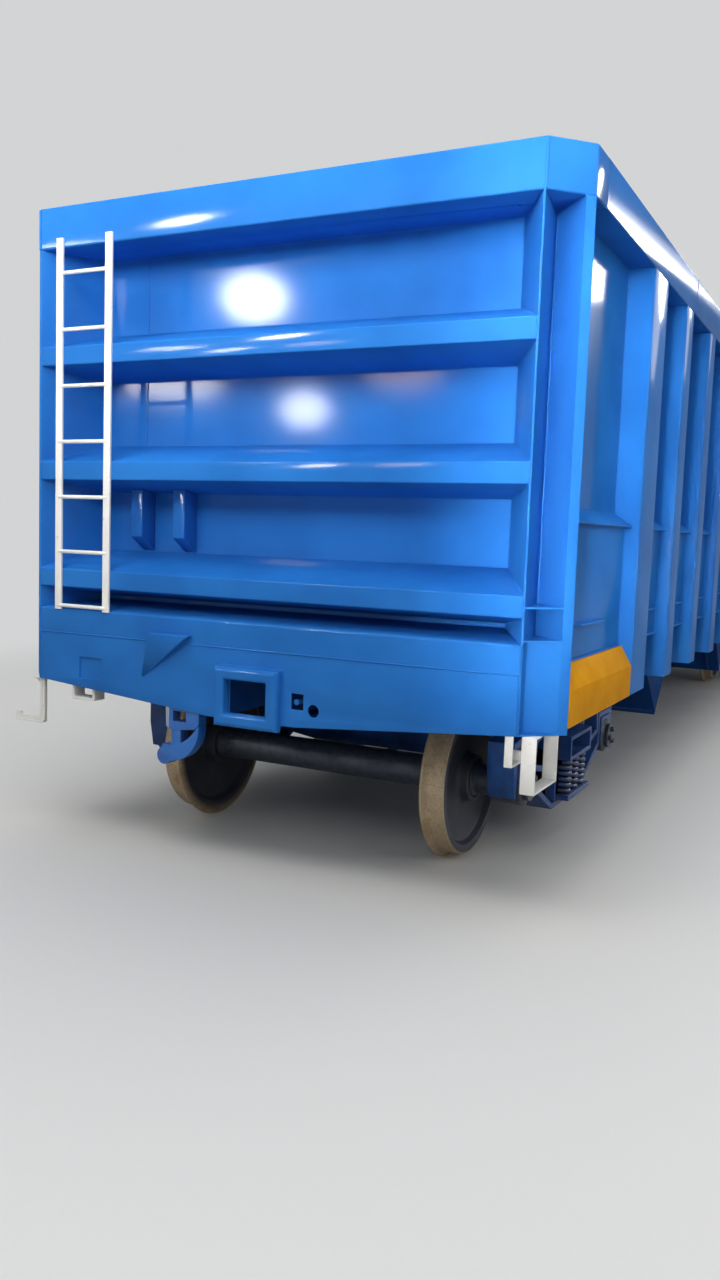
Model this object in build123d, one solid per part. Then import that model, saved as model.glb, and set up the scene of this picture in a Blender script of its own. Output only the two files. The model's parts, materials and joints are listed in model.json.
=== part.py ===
from build123d import *
import math
import os

# Open hopper wagon on two bogies, in millimetres.
# X runs across the wagon, Y along the track and Z up. The origin is on the centre line,
# half-way along, at the height of the wheel flanges' lowest points.
# The end at -Y carries its ladder on the left, and the end at +Y is the same end turned
# half round, so most end fittings are made once for the -Y end.
# A depth is a distance behind the end plane, which is the front of headstock and chord.
# An inset is a distance in from the widest part of the body, towards the centre line.

# Overall sizes
HALF_WIDTH = 1600.0
BODY_TOP = 3460.0
END_TO_BOLSTER = 1610.0
STAKE_PITCH = 907.0
STAKE_BAY_COUNT = 10
BOLSTER_Y = STAKE_BAY_COUNT * STAKE_PITCH / 2
END_Y = BOLSTER_Y + END_TO_BOLSTER
BOGIE_INSET = 135.0
BOGIE_Y = BOLSTER_Y - BOGIE_INSET

# Sheets and plates
SHEET = 6.0
FLOOR_PLATE = 8.0
POST_PLATE = 8.0
HEADSTOCK_PLATE = 12.0
CHORD_WALL = 8.0
PLATE_GAP = 2.0

# Body shell
CHORD_HEIGHT = 220.0
CHORD_BOTTOM = BODY_TOP - CHORD_HEIGHT
CHORD_DRAIN_R = 12.0
CORNER_CHAMFER = 173.0
STAKE_DEPTH = 143.0
SIDE_FACE = HALF_WIDTH - STAKE_DEPTH
SIDE_INSIDE = SIDE_FACE - SHEET
END_SHEET_DEPTH = 350.0
FLOOR_TOP = 1160.0
FLOOR_BOTTOM = FLOOR_TOP - FLOOR_PLATE
CHORD_FRONT_HALF = HALF_WIDTH - CORNER_CHAMFER

# End sill cap above the headstock seam
HEADSTOCK_TOP = 1153.0
CAP_FRONT_TOP = 1290.0
CAP_RISE = 42.0
CAP_BACK_TOP = CAP_FRONT_TOP + CAP_RISE

# End ribs: place of each as a share of the height from cap to chord, its upright front,
# how far its top slopes up to the sheet and how far its underside slopes down to it
RIB_SHARES = (0.041, 0.350, 0.675)
RIB_SPAN = CHORD_BOTTOM - CAP_BACK_TOP
RIB_BOTTOMS = [round(CAP_BACK_TOP + share * RIB_SPAN) for share in RIB_SHARES]
RIB_FRONT = 98.0
RIB_RISE = 112.0
RIB_DROP = 55.0
RIB_PLATE = 8.0

# Headstock
HEADSTOCK_CORNER_BOTTOM = 880.0
HEADSTOCK_MIDDLE_BOTTOM = 786.0
HEADSTOCK_MIDDLE_HALF = 260.0
PIPE_HOLE_X = 371.0
PIPE_HOLE_Z = 880.0
PIPE_HOLE_R = 32.0
COCK_HOLE_X = 279.0
COCK_HOLE_Z = 917.0
COCK_HOLE_W = 70.0
COCK_HOLE_H = 80.0

# Coupler pocket
POCKET_Z = 910.0
POCKET_W = 250.0
POCKET_H = 180.0
STRIKER_W = 380.0
STRIKER_H = 310.0
STRIKER_DEPTH = 60.0
STRIKER_ROUND = 28.0

# Centre sill, a box open below
SILL_HALF = 165.0
SILL_TOP = FLOOR_BOTTOM
SILL_BOTTOM = 800.0
SILL_WALL = 12.0
SILL_FLANGE = 60.0

# Side sill channel
SIDE_SILL_START = 140.0
SIDE_SILL_BOTTOM = 930.0
SIDE_SILL_FLANGE = 90.0
SIDE_SILL_WALL = 10.0

# Body bolster
BODY_BOLSTER_HALF = 170.0
BODY_BOLSTER_LEVEL = 160.0
BODY_BOLSTER_TIP = 170.0
BOLSTER_WALL = 12.0
CENTRE_PLATE_R = 240.0
CENTRE_PLATE_THICK = 22.0

# Corner post plan, as insets and depths
POST_FRONT = (CHORD_FRONT_HALF, 2.0)
POST_VALLEY = (HALF_WIDTH - 227.0, END_SHEET_DEPTH - 5.0)
POST_RIDGE = (HALF_WIDTH - 36.0, 137.0)
POST_CORNER = (HALF_WIDTH, CORNER_CHAMFER)
POST_RETURN = (HALF_WIDTH - 34.0, CORNER_CHAMFER + 5.0)
POST_LOW_VALLEY = (HALF_WIDTH - 185.0, 95.0)
POST_BOTTOM = HEADSTOCK_CORNER_BOTTOM
POST_LEG_NOSE = POST_FRONT[0] - POST_PLATE - 1
POST_LEG_FOOT = HALF_WIDTH - 380.0
POST_LEG_BOTTOM = 1162.0
SHELF_LEVELS = (1304.0, 1453.0)
SHELF_PLATE = 8.0

# Side stakes, pressed hats: face width, foot width and wall
STAKE_FACE = 220.0
STAKE_FOOT = 250.0
BOLSTER_STAKE_FACE = 360.0
BOLSTER_STAKE_FOOT = 380.0
STAKE_WALL = 8.0
STAKE_BOTTOM = 908.0

# Lower side panel and its ledge
PANEL_FACE = HALF_WIDTH - 85.0
PANEL_BOTTOM = 1185.0
PANEL_START = 290.0
LEDGE_LIP = HALF_WIDTH - 44.0
LEDGE_LIP_Z = 1842.0
LEDGE_RISE = 70.0
LEDGE_ROOT_Z = LEDGE_LIP_Z + LEDGE_RISE
LEDGE_PLATE = 8.0
UNDER_LEDGE_Z = LEDGE_LIP_Z + LEDGE_RISE * (LEDGE_LIP - PANEL_FACE) / (LEDGE_LIP - SIDE_FACE)

# Cleats on the lower panel: one in each end bay and two in the others
CLEAT_OUT = 40.0
CLEAT_PLATE = 10.0
CLEAT_UPPER_Z = 1352.0
CLEAT_LOWER_Z = 1200.0
CLEAT_LENGTH = 480.0
END_CLEAT_START = 500.0

# Corner box on the side sill, first bay at each corner
BOX_START = POST_RETURN[1] + PLATE_GAP
BOX_END = END_TO_BOLSTER - BOLSTER_STAKE_FOOT / 2 - PLATE_GAP
BOX_RIDGE_Z = 1080.0
BOX_TOP_FACE = HALF_WIDTH - 60.0
BOX_LAP = 40.0
BOX_PLATE = 6.0

# Hopper: two pockets, each in a left and a right half
SLOPE_TOP_Y = 2700.0
LIP_Y = 1780.0
LIP_Z = 380.0
DOOR_TOP_Y = 1330.0
DOOR_TOP_Z = 830.0
RIDGE_PEAK_Z = 1600.0
RIDGE_FOOT_Y = 1310.0
RIDGE_FOOT_Z = 900.0
CHUTE_INNER = SILL_HALF + SILL_FLANGE + 20.0
CHUTE_OUTER = HALF_WIDTH - 420.0
CHUTE_PLATE = 8.0
SIDE_SLOPE_TOP = 1500.0
SILL_HOOD_PEAK = 1330.0
DOOR_PLATE = 10.0
DOOR_GAP = 8.0
DOOR_SIDE_GAP = 6.0
DOOR_PIN_R = 18.0
DOOR_PIN_SET = 25.0
DOOR_PIN_OVERHANG = 12.0
DOOR_KNUCKLE_R = 32.0
DOOR_LUG_R = 42.0
DOOR_LIP = 35.0
DOOR_RIB = 40.0
DOOR_RIB_SHARES = (0.12, 0.5, 0.88)
PIN_CLEARANCE = 0.1
DOOR_ANGLE = math.atan2(DOOR_TOP_Z - LIP_Z, LIP_Y - DOOR_TOP_Y)
DOOR_DROP = DOOR_GAP + DOOR_PLATE / 2
DOOR_PIN = (
    -DOOR_TOP_Y + DOOR_PIN_SET * math.cos(DOOR_ANGLE) + DOOR_DROP * math.sin(DOOR_ANGLE),
    DOOR_TOP_Z + DOOR_PIN_SET * math.sin(DOOR_ANGLE) - DOOR_DROP * math.cos(DOOR_ANGLE),
)

# Wheels and axles
WHEEL_R = 419.0
FLANGE_HEIGHT = 28.0
FLANGE_R = WHEEL_R + FLANGE_HEIGHT
AXLE_Z = FLANGE_R
BACK_HALF = 762.0
RIM_WIDTH = 130.0
FLANGE_THICKNESS = 32.0
FLANGE_TIP = 8.0
RIM_THICKNESS = 50.0
WEB_THICKNESS = 24.0
WEB_DISH = 8.0
HUB_R = 130.0
HUB_WIDTH = 178.0
HUB_FILLET = 22.0
AXLE_R = 87.0
SEAT_R = 98.0
JOURNAL_R = 68.0
JOURNAL_COLLAR = 12.0
JOURNAL_NECK = 99.0
BEARING_R = 110.0
BEARING_WIDTH = 190.0
JOURNAL_HALF = BACK_HALF + RIM_WIDTH / 2 + HUB_WIDTH / 2 + JOURNAL_NECK + BEARING_WIDTH / 2
AXLE_END_CAP = 24.0

# Bogie side frames, with heights above the axle
BOGIE_WHEELBASE = 1727.0
SEAT_Y = BOGIE_WHEELBASE / 2
FRAME_RIM = 150.0
FRAME_WEB = 44.0
FRAME_RIM_THICK = 34.0
FRAME_TOP_RISE = 353.0
FRAME_SHOULDER_RISE = 298.0
FRAME_END_RISE = 253.0
FRAME_END_LENGTH = 63.0
FRAME_FOOT_DROP = 47.0
FRAME_BELLY_DROP = 257.0
ADAPTER = 30.0
PEDESTAL_HALF = 118.0
PEDESTAL_ROOF = AXLE_Z + BEARING_R + ADAPTER
WINDOW_HALF = 235.0
WINDOW_TOP_RISE = 288.0
SPRING_SEAT_Z = 262.0
SPRING_SEAT_PLATE = 30.0
SPRING_SEAT_HALF_WIDTH = 150.0

# Bogie bolster
BOGIE_BOLSTER_TOP = 700.0
BOGIE_BOLSTER_END = JOURNAL_HALF + SPRING_SEAT_HALF_WIDTH
BOGIE_BOLSTER_BOTTOM = 400.0
BOGIE_BOLSTER_GAP = 6.0
BOGIE_BOLSTER_WALL = 24.0
BOLSTER_SEAT_Z = 470.0
CORE_HOLE_R = 62.0
BOWL_R = 176.0
BOWL_RIM = 24.0
BOWL_DEPTH = 24.0
BOWL_CLEARANCE = 3.0
BOWL_LIFT = 0.3

# Springs, each a stack of rings standing for its coils
SPRING_R = 68.0
SPRING_WAIST = 52.0
SPRING_COIL_COUNT = 6
SPRING_PITCH = 146.0

# Brake gear
SHOE_GAP = 12.0
SHOE_THICK = 45.0
SHOE_WIDTH = 78.0
SHOE_RISE = 150.0
SHOE_DROP = 190.0
BEAM_Z = 400.0
BEAM_HALF = 24.0
CYLINDER_R = 130.0
CYLINDER_HALF = 230.0
CYLINDER_FLANGE = 32.0
CYLINDER_X = SILL_HALF + 230.0
CYLINDER_Z = SILL_BOTTOM + 70.0
PISTON_R = 28.0
PISTON_REACH = 420.0
RESERVOIR_R = 170.0
RESERVOIR_HALF = 420.0
RESERVOIR_DOME = 40.0
RESERVOIR_WALL = 6.0
RESERVOIR_DRAIN_R = 10.0
RESERVOIR_X = SILL_HALF + 260.0
RESERVOIR_Z = SILL_BOTTOM + 60.0
BRACKET_PLATE = 16.0

# Ladder
LADDER_OUTER_X = HALF_WIDTH - 322.0
LADDER_SPACING = 339.0
LADDER_WIDTH = 45.0
LADDER_BAR = 12.0
LADDER_LAP = 50.0
LADDER_FOOT_LAP = 7.0
LADDER_BOTTOM = CAP_FRONT_TOP - LADDER_FOOT_LAP
LADDER_TOP = CHORD_BOTTOM + LADDER_LAP
RUNG_FIRST = 22.0
RUNG_PITCH = 300.0
RUNG_COUNT = 1 + int((LADDER_TOP - LADDER_BOTTOM - RUNG_FIRST) / RUNG_PITCH)
RUNG_R = 10.5

# Steps and stirrups, hung from the post feet and behind the headstock
STEP_BAR = 10.0
STEP_TAB = 64.0
STEP_DROP = 265.0
J_STEP_DEPTH = 20.0
J_STEP_WIDTH = 45.0
J_STEP_LEG_X = HALF_WIDTH - 174.0
J_STEP_TIP_X = HALF_WIDTH + 26.0
J_STEP_TURN_UP = 45.0
U_STEP_X = (HALF_WIDTH - 400.0, HALF_WIDTH - 560.0)
U_STEP_BAR = 16.0
U_STEP_BOTTOM = 780.0
U_STEP_HEAD = 1000.0
U_STEP_DEPTH = 88.0
WINDOW_X = (HALF_WIDTH - 470.0, HALF_WIDTH - 630.0)
WINDOW_Z = (905.0, 1025.0)
BACKING_MARGIN = 20.0
BACKING_PLATE = 10.0
BIG_STIRRUP_X = (HALF_WIDTH - 163.0, HALF_WIDTH - 93.0)
BIG_STIRRUP_DEPTH = (20.0, 370.0)
BIG_STIRRUP_TAB = 90.0
SMALL_STIRRUP_X = (HALF_WIDTH - 240.0, HALF_WIDTH - 200.0)
SMALL_STIRRUP_DEPTH = 138.0
SMALL_STIRRUP_HEAD = HEADSTOCK_CORNER_BOTTOM + 80.0
SMALL_STIRRUP_BOTTOM = HEADSTOCK_CORNER_BOTTOM - 150.0
SMALL_STIRRUP_TURN_UP = 60.0

# Handles on the left side by the corner
GRAB_R = 9.0
GRAB_OUT = 90.0
GRAB_LOW = 1970.0
GRAB_HIGH = 2250.0
GRAB_IRON_OUT = 65.0
GRAB_IRON_LEVELS = (1336.0, 1485.0)
GRAB_START = 320.0
GRAB_END = 700.0

# Tow hook left of the coupler pocket: body, square hole and crescent
HOOK_BODY_DEPTH = (HEADSTOCK_PLATE, 80.0)
HOOK_DEPTH = (15.0, 85.0)
HOOK_BODY = [
    (-585.0, 845.0),
    (-345.0, 845.0),
    (-322.0, 790.0),
    (-322.0, 735.0),
    (-350.0, 700.0),
    (-440.0, 690.0),
    (-575.0, 690.0),
    (-590.0, 780.0),
]
HOOK_CHAMFER_X = -515.0
HOOK_HOLE_X = (-490.0, -405.0)
HOOK_HOLE_Z = (733.0, 790.0)
HOOK_OUTER = (-515.0, 705.0, 190.0)
HOOK_INNER = (-530.0, 820.0, 220.0)
HOOK_TIP = (-545.0, 540.0, 48.0)
HOOK_TIP_X = -560.0
HOOK_WEB_X = (-500.0, -440.0)

# Brackets on the end: two uprights under the middle rib, a wedge on the headstock's seam
UPRIGHT_X = (-930.0, -640.0)
UPRIGHT_WIDTH = 80.0
UPRIGHT_DEPTH = 120.0
UPRIGHT_BOTTOM = 1620.0
UPRIGHT_TAPER = 80.0
WEDGE_OUT = 45.0
WEDGE_LEFT_X = -620.0
WEDGE_RIGHT_X = -360.0
WEDGE_TIP_X = -700.0
WEDGE_TOP_Z = 1200.0
WEDGE_BAND_Z = 1150.0
WEDGE_TIP_Z = 940.0

# Cross bearers
BEARER_OFFSET = 30.0
BEARER_HALF_PLATE = 8.0
BEARER_INNER_RISE = 140.0
BEARER_OUTER_RISE = 60.0


def at_end(depth):
    """Y of a place this far behind the -Y end plane."""
    return -END_Y + depth


def prism_x(outline, x0, x1):
    """Solid from a (y, z) outline between two widths."""
    face = Plane.YZ.offset(x0) * make_face(Polyline(*outline, close=True))
    return extrude(face, amount=x1 - x0)


def prism_y(outline, y0, y1):
    """Solid from an (x, z) outline between two places along the track."""
    face = Plane.XZ.offset(-y1) * make_face(Polyline(*outline, close=True))
    return extrude(face, amount=y1 - y0)


def prism_z(outline, z0, z1):
    """Solid from an (x, y) outline between two heights."""
    face = Plane.XY.offset(z0) * make_face(Polyline(*outline, close=True))
    return extrude(face, amount=z1 - z0)


def block(x0, x1, y0, y1, z0, z1):
    """Box between two corners."""
    size = (x1 - x0, y1 - y0, z1 - z0)
    return Pos((x0 + x1) / 2, (y0 + y1) / 2, (z0 + z1) / 2) * Box(*size)


def rod(start, end, radius):
    """Round bar between two points."""
    start, end = Vector(*start), Vector(*end)
    run = end - start
    return extrude(Plane(origin=start, z_dir=run) * Circle(radius), amount=run.length)


def left_of(path, distance):
    """The open path moved to its own left by a distance, with mitred corners."""
    moved = []
    last = len(path) - 1
    for i, (x, y) in enumerate(path):
        normals = []
        for j in (i - 1, i):
            if 0 <= j < last:
                dx = path[j + 1][0] - path[j][0]
                dy = path[j + 1][1] - path[j][1]
                length = math.hypot(dx, dy)
                normals.append((-dy / length, dx / length))
        nx = sum(n[0] for n in normals)
        ny = sum(n[1] for n in normals)
        scale = distance * len(normals) / (nx * nx + ny * ny)
        moved.append((x + nx * scale, y + ny * scale))
    return moved


def bent_plate(path, thickness):
    """Outline of a plate folded along a path, with its thickness on the path's left."""
    return list(path) + left_of(path, thickness)[::-1]


def both_sides(solid):
    return [solid, mirror(solid, about=Plane.YZ)]


def both_ends(solid):
    return [solid, mirror(solid, about=Plane.XZ)]


def four_corners(solid):
    return [copy for half in both_sides(solid) for copy in both_ends(half)]


def both_diagonals(solid):
    return [solid, Rot(0, 0, 180) * solid]


def stake_places():
    """Y, face width and foot width of each stake: bolster stakes at both ends of the row."""
    places = []
    for i in range(STAKE_BAY_COUNT + 1):
        y = -BOLSTER_Y + i * STAKE_PITCH
        wide = i in (0, STAKE_BAY_COUNT)
        face = BOLSTER_STAKE_FACE if wide else STAKE_FACE
        foot = BOLSTER_STAKE_FOOT if wide else STAKE_FOOT
        places.append((y, face, foot))
    return places


# Body shell


def end_sheet():
    half = POST_VALLEY[0] - POST_PLATE - PLATE_GAP
    y0 = at_end(END_SHEET_DEPTH)
    return block(-half, half, y0, y0 + SHEET, FLOOR_TOP, CHORD_BOTTOM)


def between_posts(z0, z1):
    """Room between the two posts' inner legs, which close in with depth."""
    outline = [
        (-POST_LEG_NOSE, at_end(0)),
        (POST_LEG_NOSE, at_end(0)),
        (POST_LEG_FOOT, at_end(END_SHEET_DEPTH)),
        (-POST_LEG_FOOT, at_end(END_SHEET_DEPTH)),
    ]
    return prism_z(outline, z0, z1)


def end_rib(bottom):
    """Folded rib: an upright front, a top that slopes up and an underside that slopes down."""
    depth = END_SHEET_DEPTH
    back_top = bottom + RIB_FRONT + RIB_RISE
    path = [
        (at_end(depth), back_top),
        (at_end(0), bottom + RIB_FRONT),
        (at_end(0), bottom),
        (at_end(depth), bottom - RIB_DROP),
    ]
    plate = prism_x(bent_plate(path, RIB_PLATE), -HALF_WIDTH, HALF_WIDTH)
    return plate & between_posts(bottom - RIB_DROP - RIB_PLATE, back_top + RIB_PLATE)


def end_cap():
    """Folded cap over the headstock, closing the foot of the end sheet."""
    depth = END_SHEET_DEPTH
    path = [
        (at_end(depth), CAP_BACK_TOP),
        (at_end(0), CAP_FRONT_TOP),
        (at_end(0), HEADSTOCK_TOP),
    ]
    plate = prism_x(bent_plate(path, RIB_PLATE), -HALF_WIDTH, HALF_WIDTH)
    return plate & between_posts(HEADSTOCK_TOP, CAP_BACK_TOP + RIB_PLATE)


def side_sheet():
    """Side sheet, ending at each corner post's diagonal plate."""
    lean = (POST_RIDGE[1] - POST_VALLEY[1]) / (POST_RIDGE[0] - POST_VALLEY[0])
    depth = POST_VALLEY[1] + lean * (SIDE_INSIDE - POST_VALLEY[0]) + POST_PLATE * 2
    y = -at_end(depth)
    return block(SIDE_INSIDE, SIDE_FACE, -y, y, FLOOR_TOP, CHORD_BOTTOM)


def side_chord():
    """Rectangular tube along the top of a side."""
    y = -at_end(END_SHEET_DEPTH + SHEET)
    width = HALF_WIDTH - SIDE_INSIDE
    outer = Rectangle(width, CHORD_HEIGHT)
    inner = Rectangle(width - 2 * CHORD_WALL, CHORD_HEIGHT - 2 * CHORD_WALL)
    middle = ((HALF_WIDTH + SIDE_INSIDE) / 2, (BODY_TOP + CHORD_BOTTOM) / 2)
    section = Plane.XZ.offset(-y) * (Pos(*middle) * (outer - inner))
    return extrude(section, amount=2 * y)


def chord_outline(inset):
    """Plan of an end chord with its chamfered corners, all sides moved in by an inset."""
    back = END_SHEET_DEPTH + SHEET - inset
    corner = inset * math.tan(math.radians(22.5))
    half = [
        (CHORD_FRONT_HALF - corner, at_end(inset)),
        (HALF_WIDTH - inset, at_end(CORNER_CHAMFER + corner)),
        (HALF_WIDTH - inset, at_end(back)),
    ]
    return half + [(-x, y) for x, y in half[::-1]]


def end_chord():
    """Hollow end chord with a drain hole near each corner."""
    inside = prism_z(chord_outline(CHORD_WALL), CHORD_BOTTOM + CHORD_WALL, BODY_TOP - CHORD_WALL)
    chord = prism_z(chord_outline(0), CHORD_BOTTOM, BODY_TOP) - inside
    y = at_end(END_SHEET_DEPTH / 2)
    for x in (-CHORD_FRONT_HALF + CORNER_CHAMFER, CHORD_FRONT_HALF - CORNER_CHAMFER):
        foot = (x, y, CHORD_BOTTOM - CHORD_WALL)
        chord -= rod(foot, (x, y, CHORD_BOTTOM + 2 * CHORD_WALL), CHORD_DRAIN_R)
    return chord


def post_leg():
    """Inner leg of a post, from its nose back to the end sheet."""
    wall = POST_PLATE * 1.15
    outline = [
        (POST_LEG_NOSE, at_end(0)),
        (POST_LEG_FOOT, at_end(END_SHEET_DEPTH)),
        (POST_LEG_FOOT + wall, at_end(END_SHEET_DEPTH)),
        (POST_LEG_NOSE + wall, at_end(0)),
    ]
    return prism_z(outline, POST_LEG_BOTTOM, CHORD_BOTTOM)


def corner_post():
    """Post with its nose forward: a leg back to the sheet, and a groove towards the corner."""
    upper = [POST_FRONT, POST_VALLEY, POST_RIDGE, POST_CORNER, POST_RETURN]
    lower = [POST_FRONT, POST_LOW_VALLEY, POST_RIDGE, POST_CORNER, POST_RETURN]
    split = SHELF_LEVELS[0]

    def placed(path):
        return [(x, at_end(depth)) for x, depth in path]

    post = prism_z(placed(bent_plate(upper, POST_PLATE)), split, CHORD_BOTTOM)
    post += prism_z(placed(bent_plate(lower, POST_PLATE)), POST_BOTTOM, split + SHELF_PLATE)
    shelf = placed([POST_FRONT, POST_VALLEY, POST_RIDGE])
    for level in SHELF_LEVELS:
        post += prism_z(shelf, level, level + SHELF_PLATE)
    foot = placed([POST_FRONT, POST_LOW_VALLEY, POST_RIDGE])
    post += prism_z(foot, POST_BOTTOM, POST_BOTTOM + SHELF_PLATE)
    return post + post_leg()


def panel_outline(bottom):
    """Section of the room that the lower panel and its ledge take out of a stake."""
    return [
        (SIDE_FACE, bottom),
        (PANEL_FACE, bottom),
        (PANEL_FACE, UNDER_LEDGE_Z),
        (LEDGE_LIP, LEDGE_LIP_Z),
        (LEDGE_LIP, LEDGE_LIP_Z + LEDGE_PLATE),
        (SIDE_FACE, LEDGE_ROOT_Z + LEDGE_PLATE),
    ]


def stake(y, face, foot):
    """Hat-section stake, notched over the lower side panel and its ledge."""
    path = [
        (SIDE_FACE, y + foot / 2),
        (HALF_WIDTH, y + face / 2),
        (HALF_WIDTH, y - face / 2),
        (SIDE_FACE, y - foot / 2),
    ]
    hat = prism_z(bent_plate(path, -STAKE_WALL), STAKE_BOTTOM, CHORD_BOTTOM)
    hat &= block(SIDE_FACE, HALF_WIDTH, y - foot, y + foot, STAKE_BOTTOM, CHORD_BOTTOM)
    return hat - prism_y(panel_outline(PANEL_BOTTOM), y - foot, y + foot)


def cleat(y0, y1, z):
    """Flat cleat with cut corners, standing out from the lower panel."""
    inside = PANEL_FACE - SHEET
    outline = [
        (inside, y0),
        (PANEL_FACE, y0),
        (PANEL_FACE + CLEAT_OUT, y0 + CLEAT_OUT / 2),
        (PANEL_FACE + CLEAT_OUT, y1 - CLEAT_OUT / 2),
        (PANEL_FACE, y1),
        (inside, y1),
    ]
    return prism_z(outline, z, z + CLEAT_PLATE)


def lower_panel():
    """Outer skin of the side's foot with its turned-in bottom, ledge, end plates and cleats."""
    y = -at_end(PANEL_START)
    path = [(SIDE_FACE, PANEL_BOTTOM), (PANEL_FACE, PANEL_BOTTOM), (PANEL_FACE, UNDER_LEDGE_Z + 1)]
    ledge = [
        (SIDE_FACE, LEDGE_ROOT_Z),
        (LEDGE_LIP, LEDGE_LIP_Z),
        (LEDGE_LIP, LEDGE_LIP_Z + LEDGE_PLATE),
        (SIDE_FACE, LEDGE_ROOT_Z + LEDGE_PLATE),
    ]
    panel = prism_y(bent_plate(path, SHEET), -y, y) + prism_y(ledge, -y, y)
    closing = prism_y(panel_outline(PANEL_BOTTOM), -y, -y + SHEET)
    panel += both_ends(closing)
    end_cleat = cleat(at_end(END_CLEAT_START), at_end(END_CLEAT_START + CLEAT_LENGTH), CLEAT_UPPER_Z)
    panel += both_ends(end_cleat)
    for i in range(STAKE_BAY_COUNT):
        middle = -BOLSTER_Y + (i + 0.5) * STAKE_PITCH
        for z in (CLEAT_UPPER_Z, CLEAT_LOWER_Z):
            panel += cleat(middle - CLEAT_LENGTH / 2, middle + CLEAT_LENGTH / 2, z)
    return panel


def corner_box():
    """Bent cover plate over the side sill in the end bay, closed at both ends."""
    path = [
        (HALF_WIDTH, STAKE_BOTTOM),
        (HALF_WIDTH, BOX_RIDGE_Z),
        (BOX_TOP_FACE, PANEL_BOTTOM),
        (PANEL_FACE - BOX_LAP, PANEL_BOTTOM),
    ]
    y0 = at_end(BOX_START)
    y1 = at_end(BOX_END)
    box = prism_y(bent_plate(path, BOX_PLATE), y0, y1)
    profile = [(SIDE_FACE, SIDE_SILL_BOTTOM), (SIDE_FACE, PANEL_BOTTOM)] + path[2::-1]
    for y in (y0, y1 - BOX_PLATE):
        box += prism_y(profile, y, y + BOX_PLATE)
    return box


# Underframe


def centre_sill():
    """Centre sill with outward flanges, up to the rear of each headstock."""
    y = -at_end(HEADSTOCK_PLATE)
    half = [
        (SILL_HALF - SILL_WALL, SILL_TOP - SILL_WALL),
        (SILL_HALF - SILL_WALL, SILL_BOTTOM),
        (SILL_HALF + SILL_FLANGE, SILL_BOTTOM),
        (SILL_HALF + SILL_FLANGE, SILL_BOTTOM + SILL_WALL),
        (SILL_HALF, SILL_BOTTOM + SILL_WALL),
        (SILL_HALF, SILL_TOP),
    ]
    return prism_y(half + [(-x, z) for x, z in half[::-1]], -y, y)


def side_sill():
    """Channel under the floor's edge, open inwards."""
    outside = SIDE_FACE
    inside = outside - SIDE_SILL_FLANGE
    wall = SIDE_SILL_WALL
    outline = [
        (inside, SIDE_SILL_BOTTOM),
        (outside, SIDE_SILL_BOTTOM),
        (outside, FLOOR_BOTTOM),
        (inside, FLOOR_BOTTOM),
        (inside, FLOOR_BOTTOM - wall),
        (outside - wall, FLOOR_BOTTOM - wall),
        (outside - wall, SIDE_SILL_BOTTOM + wall),
        (inside, SIDE_SILL_BOTTOM + wall),
    ]
    y = -at_end(SIDE_SILL_START)
    return prism_y(outline, -y, y)


def headstock():
    """Headstock plate with its pocket, cock and pipe holes and the step's recess."""
    half = POST_FRONT[0] - POST_PLATE - PLATE_GAP
    outline = [
        (-half, HEADSTOCK_TOP),
        (-half, HEADSTOCK_CORNER_BOTTOM),
        (-HEADSTOCK_MIDDLE_HALF, HEADSTOCK_MIDDLE_BOTTOM),
        (HEADSTOCK_MIDDLE_HALF, HEADSTOCK_MIDDLE_BOTTOM),
        (half, HEADSTOCK_CORNER_BOTTOM),
        (half, HEADSTOCK_TOP),
    ]
    front = at_end(0)
    back = at_end(HEADSTOCK_PLATE)
    plate = prism_y(outline, front, back)
    openings = [
        (-POCKET_W / 2, POCKET_W / 2, POCKET_Z - POCKET_H / 2, POCKET_Z + POCKET_H / 2),
        (
            COCK_HOLE_X - COCK_HOLE_W / 2,
            COCK_HOLE_X + COCK_HOLE_W / 2,
            COCK_HOLE_Z - COCK_HOLE_H / 2,
            COCK_HOLE_Z + COCK_HOLE_H / 2,
        ),
        (-WINDOW_X[0], -WINDOW_X[1], *WINDOW_Z),
    ]
    for x0, x1, z0, z1 in openings:
        plate -= block(x0, x1, front, back, z0, z1)
    plate -= rod((PIPE_HOLE_X, front, PIPE_HOLE_Z), (PIPE_HOLE_X, back, PIPE_HOLE_Z), PIPE_HOLE_R)
    return plate + block(
        -U_STEP_X[0] - BACKING_MARGIN,
        -WINDOW_X[1] + BACKING_MARGIN,
        back,
        back + BACKING_PLATE,
        WINDOW_Z[0] - BACKING_MARGIN,
        WINDOW_Z[1] + BACKING_MARGIN,
    )


def striker():
    """Cast frame round the coupler pocket, with rounded outer edges."""
    frame = Rectangle(STRIKER_W, STRIKER_H)
    body = extrude(Plane.XZ * (Pos(0, POCKET_Z) * frame), amount=STRIKER_DEPTH)
    front = body.edges().group_by(Axis.Y)[0]
    body = fillet(front, STRIKER_ROUND)
    pocket = Pos(0, POCKET_Z) * Rectangle(POCKET_W, POCKET_H)
    opening = extrude(Plane.XZ * pocket, amount=STRIKER_DEPTH)
    return Pos(0, at_end(0), 0) * (body - opening)


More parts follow.
